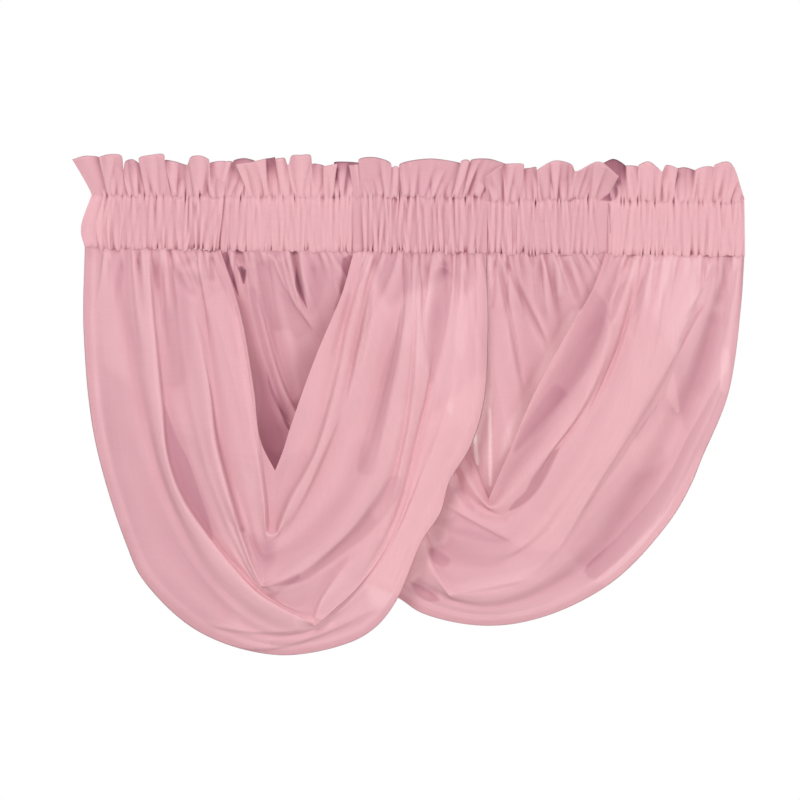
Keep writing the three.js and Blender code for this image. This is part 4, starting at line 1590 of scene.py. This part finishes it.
SWAG_2 = Swag(
    node="swag_2", headings=(HEADING_2_LEFT, HEADING_2_RIGHT), flat=(0.3, 1.2),
    fullness_and_shade=[
        (0.0, 2.7), (0.1, 2.7), (0.22, 4.1), (0.36, 2.3), (0.55, 1.7), (0.7, 1.5), (0.85, 1.6), (1.0, 1.7),
    ],
    folds=SWAG_2_FOLDS, creases=SWAG_2_CREASES, shades=SWAG_2_SHADES,
)

TAIL_3_FALLS = [
    Fall(94, [(72, -175), (52, -293), (80, -400), (194, -492)], (8, 14), 1),
    Fall(108, [(102, -150), (118, -262), (131, -318), (205, -496)], (-9, 10)),
    Fall(113, [(108, -150), (124, -262), (138, -318), (210, -497)], (-10, 8), 3),
    Fall(140, [(156, -150), (180, -290), (222, -500)], (10, 14), 5),
    Fall(180, [(206, -150), (248, -290), (240, -502)], (12, 16), 5),
    Fall(225, [(260, -130), (310, -260), (260, -497)], (14, 16), 5),
    Fall(277, [(330, -120), (385, -255), (288, -470)], (12, 14)),
]
TAIL_3_CREASES = [
    Crease((113, -48), (110, -85), (107, -128), TROUGH, 3, 5),
    Crease((117, -52), (133, -125), (156, -245), TROUGH, 4, 4),
    Crease((127, -50), (150, -98), (196, -192), TROUGH, 4, 4),
    Crease((184, -45), (174, -100), (197, -152), TROUGH, 4, 6, 0.0, 0.3),
    Crease((204, -45), (203, -75), (200, -112), RIDGE, 3, 6),
    Crease((208, -45), (222, -85), (234, -116), TROUGH, 4, 5, 0.0, 0.3),
]
# Patches of painted shade and light, partly standing for layers that show through the sheer cloth.
TAIL_3_SHADES = [
    Shade(0.55, [(99, -44), (107, -44), (109, -150), (109, -250), (100, -270), (90, -308), (84, -306),
                 (96, -250), (100, -150)], 3),
    LIGHT_IN_OVERLAP_SHADOW,
    Shade(0.8, [(92, -240), (106, -230), (108, -300), (102, -335), (90, -310), (84, -290)], 4),
    Shade(1.15, [(112, -44), (245, -44), (225, -110), (190, -165), (170, -150), (140, -120),
                 (116, -130)], 8),
    Shade(0.55, [(120, -330), (150, -290), (175, -235), (205, -180), (240, -122), (225, -120), (190, -175),
                 (155, -240), (128, -290)], 5),
]
TAIL_3 = Tail(
    node="tail_3", heading=HEADING_3_LEFT, flat=(0.28, 0.5),
    slits=[Slit((106, -258), (107, -366), 1.1), Slit((84, -288), (89, -337), 1.9)],
    falls=TAIL_3_FALLS, creases=TAIL_3_CREASES, shades=TAIL_3_SHADES,
)


@dataclass(frozen=True)
class Lamp:
    """A square soft lamp: its name, its place, its size and its power in watts."""

    name: str
    place: Triple
    size: float
    power: float


@dataclass
class Studio:
    """Plain pale floor, white surroundings and soft lamps, with a long lens straight in front."""

    # The picture is taken as square, and this much of the valance's plane fills it.
    view_mm: float = 1120.0
    middle: Pair = (-19.6, -246.4)
    lens_mm: float = 135.0
    sensor_mm: float = 36.0
    far_m: float = 100.0
    floor_x: Pair = (-2600.0, 2600.0)
    floor_y: Pair = (-3000.0, 1600.0)
    floor_z: float = -1300.0
    floor_colour: str = "#F4F2F0"
    floor_roughness: float = 0.9
    surroundings: str = "#FFFFFF"
    # Strength of the surroundings as the cloth sees them; the camera sees them at full strength.
    ambient: float = 0.32
    lamps: list[Lamp] = field(default_factory=lambda: [
        Lamp("key_lamp", (-1300.0, -4200.0, 2500.0), 1900.0, 150.0),
        Lamp("fill_lamp", (3000.0, -4400.0, 900.0), 2600.0, 86.0),
        Lamp("back_lamp", (-700.0, 4200.0, 1800.0), 2400.0, 45.0),
    ])

    def camera(self) -> None:
        """Long lens on the valance's middle, level and square on."""
        data = bpy.data.cameras.new("camera")
        data.lens = self.lens_mm
        data.sensor_width = self.sensor_mm
        data.clip_end = self.far_m
        eye = bpy.data.objects.new("camera", data)
        distance = self.view_mm * self.lens_mm / self.sensor_mm
        eye.location = (self.middle[0] * MM, -distance * MM, self.middle[1] * MM)
        eye.rotation_euler = (math.pi / 2, 0.0, 0.0)
        bpy.context.scene.collection.objects.link(eye)
        bpy.context.scene.camera = eye

    def lights(self) -> None:
        """White surroundings, two large soft lamps in front and a weaker one behind."""
        scene = bpy.context.scene
        world = bpy.data.worlds.new("white_studio")
        world.use_nodes = True
        tree = world.node_tree
        tree.nodes.clear()
        seen = add_node(tree, "LightPath").outputs["Is Camera Ray"]
        strength = add_node(tree, "MapRange", {"Value": seen, "To Min": self.ambient, "To Max": 1.0})
        light = {"Color": linear(self.surroundings), "Strength": strength.outputs["Result"]}
        background = add_node(tree, "Background", light)
        add_node(tree, "OutputWorld", {"Surface": background.outputs["Background"]})
        scene.world = world
        aim = Vector((self.middle[0], 0.0, self.middle[1])) * MM
        for lamp in self.lamps:
            data = bpy.data.lights.new(lamp.name, "AREA")
            data.size = lamp.size * MM
            data.energy = lamp.power
            made = bpy.data.objects.new(lamp.name, data)
            made.location = Vector(lamp.place) * MM
            made.rotation_euler = (aim - made.location).to_track_quat("-Z", "Y").to_euler()
            scene.collection.objects.link(made)
        scene.view_settings.view_transform = "Standard"

    def floor(self) -> None:
        """A plain pale floor far below the hems."""
        mesh = bpy.data.meshes.new("floor")
        (left, right), (front, back) = self.floor_x, self.floor_y
        corners = [(left, front), (right, front), (right, back), (left, back)]
        mesh.from_pydata([(x * MM, y * MM, self.floor_z * MM) for x, y in corners], [], [(0, 1, 2, 3)])
        material = bpy.data.materials.new("pale_floor")
        material.use_nodes = True
        sockets = material.node_tree.nodes["Principled BSDF"].inputs
        sockets["Base Color"].default_value = linear(self.floor_colour)
        sockets["Roughness"].default_value = self.floor_roughness
        mesh.materials.append(material)
        made = bpy.data.objects.new("floor", mesh)
        bpy.context.scene.collection.objects.link(made)


def main() -> None:
    """Builds the studio and the valance's pieces in order."""
    studio = Studio()
    studio.camera()
    studio.lights()
    studio.floor()
    voile = VoileFinish().material()
    headings = (HEADING_1_LEFT, HEADING_2_LEFT, HEADING_1_RIGHT, HEADING_3_LEFT, HEADING_2_RIGHT)
    for cloth in (*headings, SWAG_1, SWAG_2, TAIL_3):
        cloth.dress(voile)
    bpy.context.view_layer.update()


if __name__ == "__main__":
    main()
